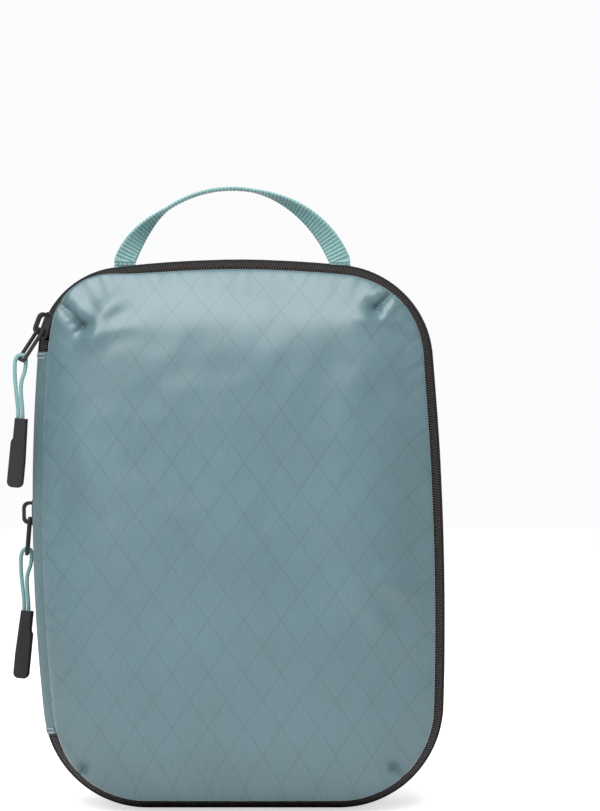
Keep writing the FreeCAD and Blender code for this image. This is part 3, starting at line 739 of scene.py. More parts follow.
def clear_runs(gaps):
    """The runs of the outline that are left between gaps, each (start, end), in order."""
    gaps = sorted(gaps)
    ends = [*gaps[1:], (gaps[0][0] + ROUND, 0.0)]
    return [(a[1], b[0]) for a, b in zip(gaps, ends)]


# %% [markdown]
# ## Soft unevenness
# Sewn cloth is never a clean surface. Two kinds of unevenness serve every wall: slow waves where
# the filling pushes, and small puckers beside a seam where the thread draws the cloth together.
# Both are sums of a few sine waves with fixed seeds, so they are the same on every run.


# %% Waves and puckers
def slow_waves(a, b, size, seed, count=14):
    """Sum of plane waves over coordinates a and b. Each wave has its own direction, a length near
    size, and its own start. The sum runs from about -1 to 1."""
    rng = np.random.default_rng(seed)
    way, start = rng.uniform(0, 2 * np.pi, (2, count))
    length = size * rng.uniform(0.7, 1.6, count)
    phase = (np.multiply.outer(a, np.cos(way)) + np.multiply.outer(b, np.sin(way))) / length
    return np.sin(2 * np.pi * phase + start).sum(-1) / math.sqrt(count)


def round_waves(s, length, seed, count=6):
    """Uneven waves along the outline that meet themselves after one lap: sines with a whole
    number of waves each, near one lap divided by length."""
    rng = np.random.default_rng(seed)
    many = np.round(ROUND / length * rng.uniform(0.75, 1.35, count))
    start = rng.uniform(0, 2 * np.pi, count)
    return np.sin(np.multiply.outer(s, 2 * np.pi * many / ROUND) + start).sum(-1) / math.sqrt(count)


def puckers(s, away, seed, length=7.0, reach=4.0):
    """Puckers beside a seam: waves along it that die away with the distance from it."""
    return round_waves(s, length, seed) * np.exp(-np.abs(away) / reach)


# %% [markdown]
# ## Walls swept round the outline
# Gussets, tapes, bindings and strips are all one thing: a closed cross section of (y, inset)
# points carried round the outline. A thick sheet's section goes out along its face, round its
# edge and back along its lining. The sweep either closes on itself or gets its two ends closed.


# %% Sweeping a section
def smooth_line(corners, step):
    """Points an even step apart along straight runs through (y, inset) corners."""
    corners = np.asarray(corners, float)
    run = run_lengths(corners)
    even = np.linspace(0, run[-1], max(2, int(round(run[-1] / step)) + 1))
    return np.stack([np.interp(even, run, corners[:, k]) for k in range(2)], 1)


def sheet_section(face, thickness):
    """Closed section of a sheet: the face points, a rounded edge, the lining, a rounded edge.
    The lining is the face moved inwards by the thickness, square to the face's run."""
    run = np.gradient(face, axis=0)
    run /= np.linalg.norm(run, axis=1)[:, None]
    inward = np.stack([-run[:, 1], run[:, 0]], 1)
    inward *= np.where(inward[:, 1].mean() < 0, -1.0, 1.0)
    lining = face + inward * thickness
    bulge = 0.35 * thickness
    end = (face[-1] + lining[-1]) / 2 + run[-1] * bulge
    start = (face[0] + lining[0]) / 2 - run[0] * bulge
    return np.concatenate([face, end[None], lining[::-1], start[None]]), len(face)


def swept(name, section, s, whole, shift=None, face_points=None):
    """Carries a closed (y, inset) section round the outline. shift, if given, is added to the
    inset of every point of the s by section grid, so negative values stand out."""
    y = section[None, :, 0] + 0 * s[:, None]
    inset = section[None, :, 1] + (0 if shift is None else shift)
    grid = wall_point(s[:, None], y, inset)
    loop = np.concatenate([section, section[:1]])
    v = np.r_[run_lengths(loop)][None, :] * MM
    u = s.copy()
    if whole:
        u = np.append(u, s[0] + ROUND)
    else:
        grid = closed_ends(grid)
        u = np.r_[u[0], u, u[-1]]
    uv = np.stack(np.broadcast_arrays(u[:, None] * MM, v), -1)
    piece = grid_piece(name, grid, uv, wrap=(whole, True))
    if face_points:
        rows = len(piece.data.polygons) // len(section)
        column = np.tile(np.arange(len(section)), rows)
        inside = (column >= face_points - 1).astype(np.int32)
        piece.data.polygons.foreach_set("material_index", inside)
    return piece


def laps(step, start=0.0, end=None):
    """Places along the outline: a whole lap without its last point, or one run with both ends."""
    if end is None:
        return np.linspace(0, ROUND, int(ROUND / step), endpoint=False)
    return np.linspace(start, end, max(3, int((end - start) / step) + 1))


def faces_out(piece):
    """Turns every face outwards, by letting Blender recalculate a closed mesh's normals."""
    shell = bmesh.new()
    shell.from_mesh(piece.data)
    bmesh.ops.recalc_face_normals(shell, faces=shell.faces)
    shell.to_mesh(piece.data)
    shell.free()
    return piece


# %% [markdown]
# ## The front panel
# The lid is one piece of ripstop cloth, cut a little larger than its frame and drawn in by a dart
# at each corner, so that it stands out as a soft pillow. A grid of square rings is laid over the
# outline: the outermost rings are the lip that is sewn to the zipper tape, and every ring inside
# it is the outline drawn in towards the middle. The depth grows with the distance from the seam.

# %% A crowned panel as a grid of rings
arc_middles = (piece_starts[1:-1] + piece_starts[2:]) / 2
ring_corners = np.array([
    arc_middles[6] - ROUND, arc_middles[0], arc_middles[2], arc_middles[4], arc_middles[6]
])
MIDDLE = np.array([0.0, 132.0])


def square_rings(count, lip):
    """Ring number (1 at the seam, more on the lip) and outline place of each grid point. The
    share of the way round a square is read off its sides, and its corners go to the outline's."""
    line = np.linspace(-1 - lip / (count / 2), 1 + lip / (count / 2), count + 2 * lip + 1)
    u, v = np.meshgrid(line, line, indexing="ij")
    ring = np.maximum(np.abs(u), np.abs(v))
    safe = np.maximum(ring, 1e-9)
    a, b = u / safe, v / safe
    share = np.select(
        [b <= -1 + 1e-9, a >= 1 - 1e-9, b >= 1 - 1e-9],
        [(a + 1) / 8, 0.25 + (b + 1) / 8, 0.5 + (1 - a) / 8], 0.75 + (1 - b) / 8,
    )
    return ring, np.interp(share, np.linspace(0, 1, 5), ring_corners)


def seam_distance(x, z, inset):
    """Distance of each point from the seam's outline: the least over many points of the seam."""
    seam = wall_point(np.linspace(0, ROUND, 2400, endpoint=False), 0.0, inset)[:, [0, 2]]
    points = np.stack([x.ravel(), z.ravel()], 1)
    near = [
        np.sqrt(((part[:, None] - seam[None]) ** 2).sum(-1).min(1))
        for part in np.array_split(points, 24)
    ]
    return np.concatenate(near).reshape(x.shape)


def panel_grid(seam, count, lip):
    """x, z, ring, outline place and distance from the seam for a panel inside one seam."""
    ring, s = square_rings(count, lip)
    edge = wall_point(s, 0.0, seam[1])[..., [0, 2]]
    inside = np.minimum(ring, 1.0)
    share = inside * (1.22 - 0.22 * inside)
    xz = MIDDLE + share[..., None] * (edge - MIDDLE)
    return xz[..., 0], xz[..., 1], ring, s, seam_distance(xz[..., 0], xz[..., 1], seam[1])


def crown(distance, reach=31.0):
    """Share of the bulge at a distance from the seam: one minus a falling power of what is left."""
    return 1 - (1 - np.clip(distance / reach, 0, 1)) ** 2.6


def panel_swell(x, z):
    """A second, slow swelling over the whole panel, fullest low down where the filling sinks: one
    minus the square of the distance from there, each way, multiplied."""
    high = np.where(z > 105, (z - 105) / 158, (105 - z) / 118)
    return np.clip(1 - (x / 104) ** 2, 0, 1) ** 0.8 * np.clip(1 - high**2, 0, 1)


def overhang(x, z):
    """How far the filled cloth stands out over its seam: most at the two upper corners, and
    next to nothing on the hinge side, where it would press on the pull as the lid opens."""
    left_top = np.exp(-(((x + 73) / 20) ** 2) - ((z - 246) / 19) ** 2)
    right_top = np.exp(-(((x - 80) / 24) ** 2) - ((z - 236) / 24) ** 2)
    hinge_side = 1 / (1 + np.exp((x + 84) / 2.5)) / (1 + np.exp((z - 228) / 3.0))
    return 2.3 * (1 - 0.95 * hinge_side) + 3.6 * left_top + 1.2 * right_top


# %% [markdown]
# ## Darts and their puckers
# A dart is a fold that is sewn shut from the seam inwards. On the outside it shows as a narrow
# groove with a soft swelling each side, and a dimple where it ends, because there the cloth
# changes from tight to full. Each dart is a line, and the cloth is moved by its distance from it.


# %% Darts
# (outer end, inner end, groove depth, dimple depth) of each corner's dart, x and z in mm
DARTS = [
    ((-85.3, 242.1), (-71.0, 226.5), 3.0, 4.2), ((76.2, 245.6), (63.2, 234.8), 2.2, 3.0),
    ((-77.8, 14.1), (-69.4, 23.4), 1.8, 2.2), ((82.5, 15.0), (70.8, 23.6), 1.9, 2.3),
]
# (middle, direction in degrees, half length, half width, height) of folds drawn by the darts
FOLDS = [
    ((-62.0, 234.0), 52.0, 12.0, 4.2, 1.9), ((-57.0, 226.0), 25.0, 9.0, 3.5, 0.9),
    ((-80.5, 229.0), 68.0, 10.0, 3.6, 1.2), ((74.0, 228.5), -28.0, 11.0, 2.6, 1.3),
    ((66.0, 240.5), -14.0, 9.0, 3.4, 0.9), ((72.5, 236.0), 30.0, 7.0, 2.2, 0.7),
    ((-64.5, 19.0), -32.0, 8.0, 3.0, 0.7), ((-74.5, 26.0), 64.0, 9.0, 3.2, 0.7),
    ((66.5, 18.0), 26.0, 9.0, 3.0, 0.8), ((76.5, 26.5), -58.0, 9.0, 3.0, 0.7),
    ((60.0, 205.0), 34.0, 26.0, 8.0, 0.8), ((70.0, 108.0), -8.0, 16.0, 6.0, 1.0),
    ((63.0, 94.0), -52.0, 13.0, 5.0, 0.8), ((-72.0, 168.0), -64.0, 20.0, 7.0, 0.9),
    ((-70.0, 128.0), 20.0, 14.0, 7.0, 0.6), ((80.0, 50.0), 58.0, 16.0, 6.0, 0.7),
]


def dart_height(x, z):
    """How far the darts and folds move the cloth outwards. A groove is a narrow bell across the
    dart, a swelling a wide one each side, a dimple a round bell at its end, and a fold a bell
    that is long one way."""
    height = np.zeros_like(x)
    for (ax, az), (bx, bz), groove, dimple in DARTS:
        length = math.hypot(bx - ax, bz - az)
        ux, uz = (bx - ax) / length, (bz - az) / length
        along = (x - ax) * ux + (z - az) * uz
        off = (z - az) * ux - (x - ax) * uz
        on = 1 / (1 + np.exp((along - length) / 1.2)) / (1 + np.exp(-(along + 3) / 1.5))
        height -= 1.15 * groove * on * np.exp(-((off / 1.05) ** 2))
        height += 0.62 * groove * on * np.exp(-(((np.abs(off) - 5.0) / 3.4) ** 2))
        pull = np.sin(2 * np.pi * along / 4.6 + 0.8) * np.exp(-((np.abs(off) - 2.6) / 2.2) ** 2)
        height += 0.16 * groove * on * pull
        height -= dimple * np.exp(-(((along - length + 0.6) / 2.4) ** 2) - (off / 4.4) ** 2)
        height += 0.35 * dimple * np.exp(-(((along - length - 6.0) / 4.0) ** 2) - (off / 7.0) ** 2)
    for (cx, cz), way, half_length, half_width, rise in FOLDS:
        ux, uz = math.cos(math.radians(way)), math.sin(math.radians(way))
        along = (x - cx) * ux + (z - cz) * uz
        off = (z - cz) * ux - (x - cx) * uz + 0.02 * along**2
        height += rise * np.exp(-((along / half_length) ** 2) - (off / half_width) ** 2)
        beside = np.exp(-(((np.abs(off) - 1.9 * half_width) / half_width) ** 2))
        height -= 0.35 * rise * np.exp(-((along / half_length) ** 2)) * beside
    return height


# %% The front panel's cloth
LIP = 3
CROWN_RISE, CROWN_REACH, SWELL_RISE, BULGE_REACH = 15.5, 42.0, 9.5, 2.4


def front_out(x, z, away):
    """How far the front stands out, without its seam puckers: the crown, the slow swelling, the
    waves, which fade out near the seam, and the darts."""
    fade = np.clip(away / 9.0, 0, 1)
    out = CROWN_RISE * crown(away, CROWN_REACH) + SWELL_RISE * panel_swell(x, z)
    out += fade * (0.75 * slow_waves(x, z, 62.0, 3) + 0.13 * slow_waves(x, z, 19.0, 8))
    return out + dart_height(x, z) * np.clip(away / 2.5, 0, 1)


def seam_bulge(x, z, away):
    """The overhang, rising to its full size BULGE_REACH from the seam and dying away past it."""
    return (overhang(x, z) * (away / BULGE_REACH) * np.exp(1 - away / BULGE_REACH))[..., None]


x, z, ring, s, away = panel_grid(FRONT_SEAM, 198, LIP)
out = front_out(x, z, away)
out += 0.30 * puckers(s, away - 1.5, 11, 9.0, 5.0) * np.clip(away / 1.5, 0, 1)
outward = wall_point(s, 0.0, -1.0) - wall_point(s, 0.0, 0.0)
panel_points = np.stack([x, FRONT_SEAM[0] - out, z], -1) + outward * seam_bulge(x, z, away)

on_strip = 1 / (1 + np.exp(-(s - strip_s[0] + 1.5))) / (1 + np.exp(s - strip_s[1] - 1.5))
lip_run = np.clip(ring - 1, 0, None) * 99 / LIP * (1 - 0.85 * on_strip)
on_lip = (ring > 1 + 1e-6)[..., None]
lip_y, lip_inset = in_band(MAIN, -MAIN[3] + 0.55 * lip_run, 0.12 * lip_run)
lip_points = wall_point(s, lip_y, lip_inset)
panel_points = np.where(on_lip, lip_points, panel_points)
panel_uv = np.stack([x + 13.34, z - 143.9 - out * 0.35], -1) * MM
panel_uv = np.where(on_lip, panel_uv * 1.01, panel_uv)
front_panel = grid_piece("front_panel_cloth", panel_points, panel_uv)
thicken(front_panel)
finish_piece(front_panel, "lid", "shell_cloth", [shell_cloth, lining_cloth], "front_panel")


# %% [markdown]
# ## The back panel
# The back is the same cloth, nearly flat, so that the cube lies well in a case. The same rings
# serve, with a small bulge the other way.

# %% The back panel's cloth
x, z, ring, s, away = panel_grid(BACK_SEAM, 168, 0)
out = BACK_BULGE * crown(away)
out += np.clip(away / 12.0, 0, 1) * (0.35 * slow_waves(x, z, 58.0, 21) - 0.3)
out += 0.28 * puckers(s, away - 1.5, 23, 9.0, 5.0) * np.clip(away / 1.5, 0, 1)
back_points = np.stack([x, BACK_SEAM[0] + out, z], -1)
back_uv = np.stack([x, z], -1) * MM
back_panel = grid_piece("back_panel_cloth", back_points, back_uv, flip=True)
thicken(back_panel)
finish_piece(back_panel, "rear_shell", "shell_cloth", [shell_cloth, lining_cloth], "back_panel")

# %% [markdown]
# ## Gussets
# The side wall is two bands of the same cloth, lined with plain nylon: one in front of the
# compression zipper and one behind it. Their edges are turned in and stitched down on the zipper
# tape, which draws small puckers into them.


# %% The two gussets
def gusset(name, corners, body, node_name, seed, edges):
    """A lined band of wall. edges are the depths y where it is sewn, which pucker."""
    face = smooth_line(corners, 0.85)
    section, count = sheet_section(face, SHELL)
    s = laps(1.6)
    shift = -0.22 * slow_waves(s[:, None], section[None, :, 0] * 2, 70.0, seed)
    for k, edge in enumerate(edges):
        near = np.clip((np.abs(section[None, :, 0] - edge) - 2.4) / 3.0, 0, 1)
        shift = shift * near - 0.17 * near * puckers(s, 0 * s, seed + k, 8.0)[:, None] * np.exp(
            -np.abs(section[None, :, 0] - edge) / 3.5)
    piece = faces_out(swept(name, section, s, True, shift, face_points=count))
    return finish_piece(piece, body, "shell_cloth", [shell_cloth, lining_cloth], node_name)


front_edge = in_band(MAIN, MAIN[3] - 0.15, 0.35)
gusset("front_gusset_cloth", [front_edge, (-13.4, 0.6), (-9.0, 0.42), (-3.0, 0.1), (3.0, 0.0)],
       "front_frame", "front_gusset", 31, (-14.0, 3.0))
gusset("rear_gusset_cloth", [(15.0, 0.0), (24.0, 0.0), (30.0, 1.2), (33.6, 3.6), (36.0, 6.0)],
       "rear_shell", "rear_gusset", 41, (15.0, 36.0))

# %% [markdown]
# ## Zipper tapes
# Each half of a zipper is a woven tape with the coil sewn along its inner edge. The tape is a
# thin flat strip under the cloth's edge.


# %% The four tape halves
def tape_half(name, band, side, past, rise, runs, body, node_name):
    """Half of a tape, from the gap at the middle to past the band's edge, for each run of the
    outline that it covers. side is -1 for the front half and 1 for the back half."""
    near, far = side * 0.65, side * (band[3] + past)
    share = np.linspace(0, 1, 13)
    face = np.stack(in_band(band, near + (far - near) * share, 1.0 - rise * share**2.5), 1)
    section, _ = sheet_section(face, 0.6)
    made = [
        swept(f"{name}_{k}", section, laps(2.0, *run) if run else laps(2.0), not run)
        for k, run in enumerate(runs)
    ]
    piece = faces_out(joined(made, name))
    return finish_piece(piece, body, "zipper_tape", tape_weave, node_name)


def joined(pieces, name):
    """One object from several: the meshes are read into one, and the spare objects removed."""
    whole = bmesh.new()
    for piece in pieces:
        whole.from_mesh(piece.data)
    whole.to_mesh(pieces[0].data)
    whole.free()
    for piece in pieces[1:]:
        bpy.data.objects.remove(piece)
    pieces[0].name = name
    return pieces[0]


main_gap = (main_park_s - PARK, main_park_s + PARK)
strip_gap = (strip_s[0] - 0.4, strip_s[1] + 0.4)
outer_runs = clear_runs([main_gap, strip_gap])
inner_runs = clear_runs([strip_s])
compression_gap = (compression_park_s - PARK, compression_park_s + PARK)
tape_half("main_tape_outer_weave", MAIN, -1, -0.15, 0.45, outer_runs, "lid", "main_tape_outer")
tape_half("main_tape_inner_weave", MAIN, 1, 0.0, 0.98, inner_runs, "front_frame", "main_tape_inner")
tape_half("compression_tape_front_weave", COMPRESSION, -1, 1.5, 0.0, clear_runs([compression_gap]),
          "front_frame", "compression_tape_front")
tape_half("compression_tape_rear_weave", COMPRESSION, 1, 1.5, 0.0, [None], "rear_shell",
          "compression_tape_rear")

# %% [markdown]
# ## The coil
# A coil zipper's teeth are loops of one nylon thread. Each loop shows as a small rounded bar
# across the tape with a thicker head at the middle, and the two halves lie half a pitch apart,
# so their heads mesh. One small bar is worked out once and set down at every place in one go.


# %% Setting one shape down many times
def even_places(pitch, gaps=(), start=0.0):
    """Places near a pitch apart all round the outline, none of them in a gap."""
    count = int(ROUND / pitch)
    places = (np.arange(count) + start) * ROUND / count
    for low, high in gaps:
        places = places[((places - low) % ROUND) > (high - low)]
    return places


def wall_frames(s, band, across, deep):
    """Origin and three axes (along the outline, across the band, out of the cloth) at each s."""
    y, inset = in_band(band, across, deep)
    origin = wall_point(s, y, inset)
    along = wall_point(s + 0.05, y, inset) - wall_point(s - 0.05, y, inset)
    along /= np.linalg.norm(along, axis=-1)[:, None]
    outward = wall_point(s, y, inset - 1.0) - origin
    back = np.array([0.0, 1.0, 0.0])
    lean = band[2]
    sideways = back * math.cos(lean) + outward * math.sin(lean)
    normal = outward * math.cos(lean) - back * math.sin(lean)
    return origin, np.stack([along, sideways, normal], 1)


def set_down(name, shape, origin, axes):
    """Many copies of a closed tube shape (rings x sides x 3) as one mesh: each point is the
    origin plus its three coordinates times the three axes."""
    rings, sides = shape.shape[:2]
    points = origin[:, None, :] + np.einsum("pa,kac->kpc", shape.reshape(-1, 3), axes)
    faces = grid_faces(rings, sides, False, True)
    faces = faces[None] + (np.arange(len(origin)) * rings * sides)[:, None, None]
    run = np.linspace(0, 0.003, rings + 1)[:-1, None] + np.zeros(sides)
    lap = np.zeros(rings)[:, None] + np.linspace(0, 0.002, sides)
    uv_point = np.stack([run, lap], -1).reshape(-1, 2)
    loop_uv = np.tile(uv_point[grid_faces(rings, sides, False, True)], (len(origin), 1, 1))
    piece = make_object(name, points, faces.reshape(-1, 4), loop_uv)
    return faces_out(piece)


def rounded_bar(along, radius_a, radius_b, sides):
    """A bar: ellipses at places along its length. radius_a lies across it, radius_b is its
    height. Its length is the shape's second coordinate."""
    turn = np.linspace(0, 2 * np.pi, sides, endpoint=False)[None, :]
    a, b = np.asarray(radius_a)[:, None], np.asarray(radius_b)[:, None]
    ones = np.ones_like(turn)
    return closed_ends(np.stack([
        a * np.cos(turn), np.asarray(along)[:, None] * ones, b * np.sin(turn)
    ], -1))


# %% The four coil halves
PITCH = 1.22
TOOTH = rounded_bar([-1.6, -1.42, -0.8, -0.2, 1.3, 1.75, 1.95],
                    [0.26, 0.45, 0.51, 0.42, 0.40, 0.36, 0.18],
                    [0.20, 0.42, 0.48, 0.46, 0.46, 0.40, 0.18], 7)


def coil_half(name, band, side, gaps, body, node_name):
    """One half of a chain: teeth a pitch apart round the outline, but none in the gaps."""
    places = even_places(PITCH, gaps, 0.5 if side > 0 else 0.0)
    teeth = set_down(name, TOOTH * [1.0, side, 1.0], *wall_frames(places, band, side * 1.6, 0.33))
    return finish_piece(teeth, body, "zipper_coil", coil_nylon, node_name)


coil_half("main_coil_outer_teeth", MAIN, -1, [main_gap, strip_gap], "lid", "main_coil_outer")
coil_half("main_coil_inner_teeth", MAIN, 1, [strip_s], "front_frame", "main_coil_inner")
coil_half("compression_coil_front_teeth", COMPRESSION, -1, [compression_gap], "front_frame",
          "compression_coil_front")
coil_half("compression_coil_rear_teeth", COMPRESSION, 1, [], "rear_shell",
          "compression_coil_rear")

# %% [markdown]
# ## The hinge strip
# On the left side the zipper stops, and a strip of the shell cloth joins the lid to the side
# wall. It bends when the lid opens, so here it gets no body of its own. Its two
# ends are folded under and sewn across with pale thread.

# %% Strip and folded ends
face = np.stack(in_band(MAIN, np.linspace(-5.8, 5.24, 15), np.full(15, 0.0)), 1)
section, count = sheet_section(face, SHELL)
s = laps(1.2, *strip_s)
belly = -0.45 * np.sin(np.pi * np.clip(np.arange(len(section)) / 14.0, 0, 1))[None, :]
belly = belly - 0.18 * slow_waves(s[:, None], section[None, :, 0] * 3, 38.0, 51)
belly = belly * (np.arange(len(section)) < count)[None, :]
strip = faces_out(swept("hinge_strip_cloth", section, s, False, belly, face_points=count))
finish_piece(strip, None, "shell_cloth", [strip_cloth, lining_cloth], "hinge_strip")
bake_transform(strip)

ends = []
for k, z_low in enumerate((STRIP_BOTTOM, STRIP_TOP - 3.5)):
    fold = np.stack(in_band(MAIN, np.linspace(-4.7, 5.1, 11), np.full(11, -0.75)), 1)
    section, _ = sheet_section(fold, 0.75)
    run = laps(0.5, left_at(z_low + 3.5), left_at(z_low))
    dome = 0.3 * (np.abs(np.linspace(-1, 1, len(run))) ** 4)[:, None] * np.ones(len(section))
    ends.append(swept(f"fold_{k}", section, run, False, dome))
ends = faces_out(joined(ends, "hinge_strip_folded_ends"))
finish_piece(ends, "front_frame", "shell_cloth", strip_cloth, "hinge_strip_ends")

# %% [markdown]
# ## Bindings inside
# Inside the cube, the raw edges of the seams are covered with black grosgrain binding. It shows
# when the lid is open.


# %% Three bindings
def binding(name, corners, body, node_name):
    """A thick tape through (y, inset) corners, carried once round the outline."""
    section, _ = sheet_section(smooth_line(corners, 0.5), 1.2)
    s = laps(1.8)
    shift = np.clip(0.12 * round_waves(s, 8.0, 61), -0.1, 0.1)[:, None] * np.ones(len(section))
    piece = faces_out(swept(name, section, s, True, shift))
    return finish_piece(piece, body, "binding_tape", binding_weave, node_name)


binding("front_seam_grosgrain", [(-24.95, 8.15), (-27.2, 9.6)], "lid", "front_seam_binding")
binding("frame_seam_grosgrain", [(-13.5, 1.75), (-10.7, 1.3)], "front_frame",
        "frame_seam_binding")
binding("back_seam_grosgrain", [(33.2, 4.4), (35.4, 6.7)], "rear_shell",
        "back_seam_binding")

# %% [markdown]
# ## The expansion gusset
# Behind the closed compression zipper lies a band of thin cloth, folded away. When that zipper is
# undone the front half moves out 28 mm and the band is drawn out between the tapes. It is made
# as one slack layer that gets no body of its own here, since it spans the rear and front bodies.

# %% Slack band
slack = smooth_line([(15.0, 4.75), (9.0, 4.9), (3.0, 4.6), (-3.0, 3.6), (-7.6, 2.7)], 0.8)
section, count = sheet_section(slack, 0.5)
s = laps(1.8)
shift = 0.12 * slow_waves(s[:, None], section[None, :, 0] * 2, 26.0, 71)
gusset_band = faces_out(swept("expansion_gusset_cloth", section, s, True, shift,
                              face_points=count))
finish_piece(gusset_band, None, "gusset_lining", [expansion_cloth, lining_cloth],
             "expansion_gusset")
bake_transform(gusset_band)

# %% [markdown]
# ## The handle
# The handle is 10 mm polyester webbing with cross ribs. Its ends are sewn flat into the top seam,
# so they face the front, and the strap twists a quarter turn at each end until its edge faces the
# front at the top. A rounded strap section is carried along an arc and turned as it goes, and
# the ribs are a fine wave in its thickness.

# %% Handle as a turned strap
HANDLE_X, HANDLE_Y, SEAT = -3.0, -13.5, 258.887
SPAN, RISE, STRAP_WIDTH, STRAP = 101.5, 34.0, 10.0, 1.5
handle_radius = ((SPAN / 2) ** 2 + RISE**2) / (2 * RISE)


def strap_section(points):
    """A flat strap's outline, corner radius half its thickness: (across, through) pairs."""
    half, r = STRAP_WIDTH / 2, STRAP / 2
    flat = np.linspace(-half + r, half - r, points)
    turn = np.linspace(-np.pi / 2, np.pi / 2, 5)[1:-1]
    top = np.stack([flat, np.full(points, r)], 1)
    right = np.stack([half - r + r * np.cos(turn[::-1]), r * np.sin(turn[::-1])], 1)
    return np.concatenate([top, right, -top, -right])


def ribbed_strap(section, run, centre, width, thick, rib=1.7, deep=0.24):
    """The section set across a path. The flat faces rise and fall as a wave along the run, which
    is half a wave out between the two faces, as in cross-ribbed webbing."""
    sign = np.sign(section[:, 1])[None, :]
    wave = np.sin(2 * np.pi * run[:, None] / rib + np.where(sign > 0, 0.0, np.pi))
    edge = 1 - (np.abs(section[:, 0]) / (STRAP_WIDTH / 2))[None, :] ** 8
    through = section[None, :, 1] + sign * deep * (wave - 1) * edge / 2
    across = section[None, :, 0] * (1 + 0.006 * wave)
    moved = across[..., None] * width[:, None] + through[..., None] * thick[:, None]
    return centre[:, None] + moved


def strap_piece(name, grid, run):
    """A closed strap from its sections, with the lap and the run in metres as its UV map."""
    lap = np.linspace(0, 2 * (STRAP_WIDTH + STRAP), grid.shape[1] + 1)[None, :] * MM
    uv = np.stack(np.broadcast_arrays(lap, np.r_[run[0], run, run[-1]][:, None] * MM), -1)
    return faces_out(grid_piece(name, closed_ends(grid), uv, wrap=(False, True)))


# %% Handle
sweep = math.asin(SPAN / 2 / handle_radius)
a = np.linspace(-sweep, sweep, 400)
arc = np.stack([handle_radius * np.sin(a), RISE - handle_radius + handle_radius * np.cos(a)], 1)
lead = np.linspace(-0.9, -0.1, 6)
up = np.stack([np.full(6, -SPAN / 2), lead], 1)
line = np.concatenate([up, arc, up[::-1] * [-1.0, 1.0]])
run = run_lengths(line)
even = np.linspace(0, run[-1], 860)
line = np.stack([np.interp(even, run, line[:, k]) for k in range(2)], 1)
kernel = np.ones(9) / 9
soft = np.stack([np.convolve(np.pad(line[:, k], 4, "edge"), kernel, "valid") for k in range(2)], 1)
ease = np.clip(np.minimum(even, even[-1] - even) / 1.2, 0, 1)[:, None]
line = line * (1 - ease) + soft * ease
along = np.gradient(line, axis=0)
along /= np.linalg.norm(along, axis=1)[:, None]
radial = np.stack([-along[:, 1], 0 * along[:, 0], along[:, 0]], 1)
centre = np.stack([line[:, 0], 0 * line[:, 0], line[:, 1]], 1) + [HANDLE_X, HANDLE_Y, SEAT]
share = np.clip((even - 0.9) / (even[-1] - 1.8), 0, 1)
turn = np.radians(90) * (1 - np.clip(np.minimum(share / 0.25, (1 - share) / 0.42), 0, 1)) ** 1.2
width = np.array([0.0, 1.0, 0.0]) * np.cos(turn)[:, None] - radial * np.sin(turn)[:, None]
thick = np.cross(width, np.stack([along[:, 0], 0 * share, along[:, 1]], 1))
strap_points = ribbed_strap(strap_section(11), even, centre, width, thick)
handle = strap_piece("webbing_handle", strap_points, even)
finish_piece(handle, None, "webbing", webbing_cloth, "carry_handle")
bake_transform(handle)

# %% Sewn ends of the strap
ends = []
for side in (-1, 1):
    run = np.linspace(0, 8.6, 60)
    top = np.array([HANDLE_X + side * SPAN / 2, HANDLE_Y, SEAT - 0.6])
    centre = top - np.array([0.0, 0.0, 1.0]) * run[::-1, None]
    width = np.tile([1.0, 0.0, 0.0], (60, 1))
    thick = np.tile([0.0, -1.0, 0.0], (60, 1))
    grid = ribbed_strap(strap_section(11), run, centre, width, thick)
    ends.append(strap_piece(f"end_{side}", grid, run))
anchors = joined(ends, "webbing_handle_ends")
finish_piece(anchors, "front_frame", "webbing", webbing_cloth, "handle_anchors")

# %% [markdown]
# ## Stitches
# A lockstitch shows as short raised dashes with a small gap between. One dash is a bar with
# pointed ends, set down along each seam: beside the zippers on the gussets, across the hinge
# strip's folded ends, on the darts and across the handle's ends.

# %% Stitch rows
DASH = rounded_bar([-1.0, -0.85, -0.3, 0.3, 0.85, 1.0], [0.06, 0.17, 0.22, 0.22, 0.17, 0.06],
                   [0.05, 0.13, 0.18, 0.18, 0.13, 0.05], 6)


def row_on_wall(name, y, inset, body):
    """Dashes round the outline at one depth, along the seam and sunk a little into the cloth."""
    row = wall_frames(even_places(2.7), (y, inset, 0.0, 0.0), 0.0, 0.11)
    dashes = set_down(name, DASH[..., [1, 0, 2]], *row)
    return finish_piece(dashes, body, "shell_cloth", thread_cloth)


def row_between(start, end, normal, pitch, lift):
    """Origins and axes of dashes along a straight line from start to end."""
    start, end, normal = (np.asarray(v, float) for v in (start, end, normal))
    length = np.linalg.norm(end - start)
    count = max(1, int(length / pitch))
    along = (end - start) / length
    normal = normal - along * (normal @ along)
    normal /= np.linalg.norm(normal)
    places = start + along * ((np.arange(count) + 0.5) * length / count)[:, None] + normal * lift
    side = np.cross(normal, along)
    return places, np.tile(np.stack([side, along, normal]), (count, 1, 1))


row_on_wall("gusset_front_stitches", -11.8, 0.53, "front_frame")
row_on_wall("gusset_zip_stitches", 1.3, 0.0, "front_frame")
row_on_wall("rear_gusset_stitches", 16.7, 0.0, "rear_shell")

def set_rows(name, rows, dash, body, slot, thread):
    """Dashes of several rows, each (origins, axes), as one piece."""
    origin, axes = (np.concatenate(part) for part in zip(*rows))
    return finish_piece(set_down(name, dash, origin, axes), body, slot, thread)


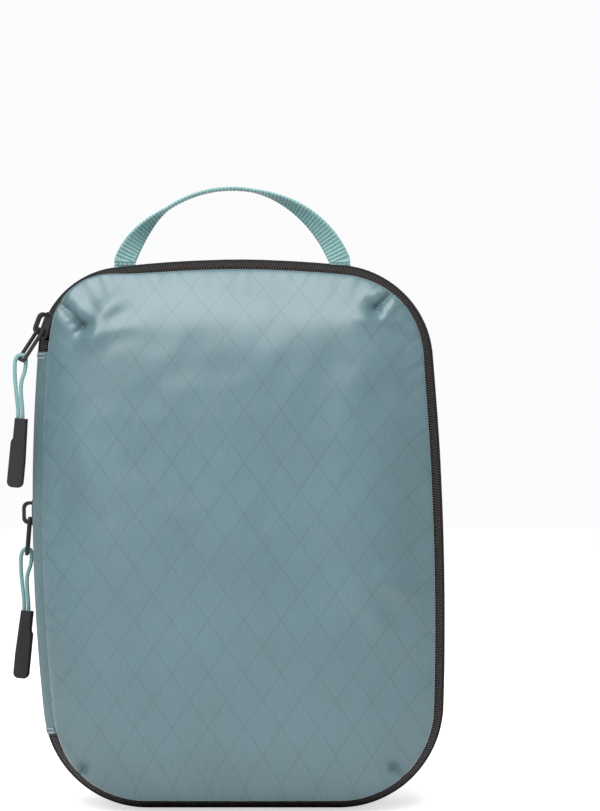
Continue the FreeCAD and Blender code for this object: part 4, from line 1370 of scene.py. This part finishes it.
# %% Stitches on the strip's ends, the darts and the handle
strip_rows = []
for z in (STRIP_BOTTOM + 1.0, STRIP_TOP - 1.0, STRIP_BOTTOM + 2.9, STRIP_TOP - 2.9):
    a_end = wall_point(left_at(z), *in_band(MAIN, -4.4, -0.82))
    b_end = wall_point(left_at(z), *in_band(MAIN, 4.7, -0.82))
    strip_rows.append(row_between(a_end, b_end, (-0.88, -0.47, 0.0), 1.9, 0.02))
set_rows("hinge_strip_end_stitches", strip_rows, DASH * [1.0, 0.72, 1.0], "front_frame",
         "shell_cloth", pale_thread)


def on_panel(x, z):
    """A point of the front panel's outer face, from the same formula as its grid."""
    x, z = np.atleast_1d(np.asarray(x, float)), np.atleast_1d(np.asarray(z, float))
    away = seam_distance(x[None], z[None], FRONT_SEAM[1])[0]
    way = np.stack([x, 0 * x, z - MIDDLE[1]], -1)
    way /= np.linalg.norm(way, axis=-1)[..., None]
    surface = np.stack([x, FRONT_SEAM[0] - front_out(x, z, away), z], -1)
    return surface + way * seam_bulge(x, z, away)


dart_rows = []
for (ax, az), (bx, bz), _, _ in DARTS:
    length = math.hypot(bx - ax, bz - az)
    share = (np.arange(5) + 0.5) / 5 * (1 - 8.5 / length) + 7.0 / length
    way = np.array([(bx - ax) / length, (bz - az) / length])
    spot = np.stack([ax + (bx - ax) * share, az + (bz - az) * share], 1)
    spot += np.array([-way[1], way[0]]) * 0.9
    before = on_panel(*(spot - way * 0.4).T)
    after = on_panel(*(spot + way * 0.4).T)
    along = (after - before) / np.linalg.norm(after - before, axis=1)[:, None]
    side = np.cross(np.array([0.0, -1.0, 0.0]), along)
    side /= np.linalg.norm(side, axis=1)[:, None]
    normal = np.cross(along, side)
    dart_rows.append(((before + after) / 2 + normal * 0.05, np.stack([side, along, normal], 1)))
set_rows("dart_stitches", dart_rows, DASH * [0.7, 0.75, 0.8], "lid", "shell_cloth", thread_cloth)

handle_rows = []
for side in (-1, 1):
    x_mid = HANDLE_X + side * SPAN / 2
    for drop in (0.9, 1.9):
        left, right = ((x_mid + way, HANDLE_Y - 0.85, SEAT - drop) for way in (-4.2, 4.2))
        handle_rows.append(row_between(left, right, (0, -1, 0), 1.7, 0.0))
set_rows("handle_bar_tacks", handle_rows, DASH * 0.75, "front_frame", "webbing", thread_cloth)

# %% [markdown]
# ## Sliders, tabs and grips
# These are hard parts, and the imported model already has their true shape, so they only get their
# finishes: painted metal on the sliders and tabs, and matte rubber on the grips.

# %% Finishes on the hard parts
for pull in PULL_BARS:
    for part_name, finish in (
        ("slider", slider_paint), ("pull_tab", slider_paint), ("pull_grip", grip_rubber)
    ):
        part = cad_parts[f"{pull}_{part_name}"]
        for place in part.material_slots:
            place.material = finish
        print(part.name, len(part.material_slots), "finish", finish.name)
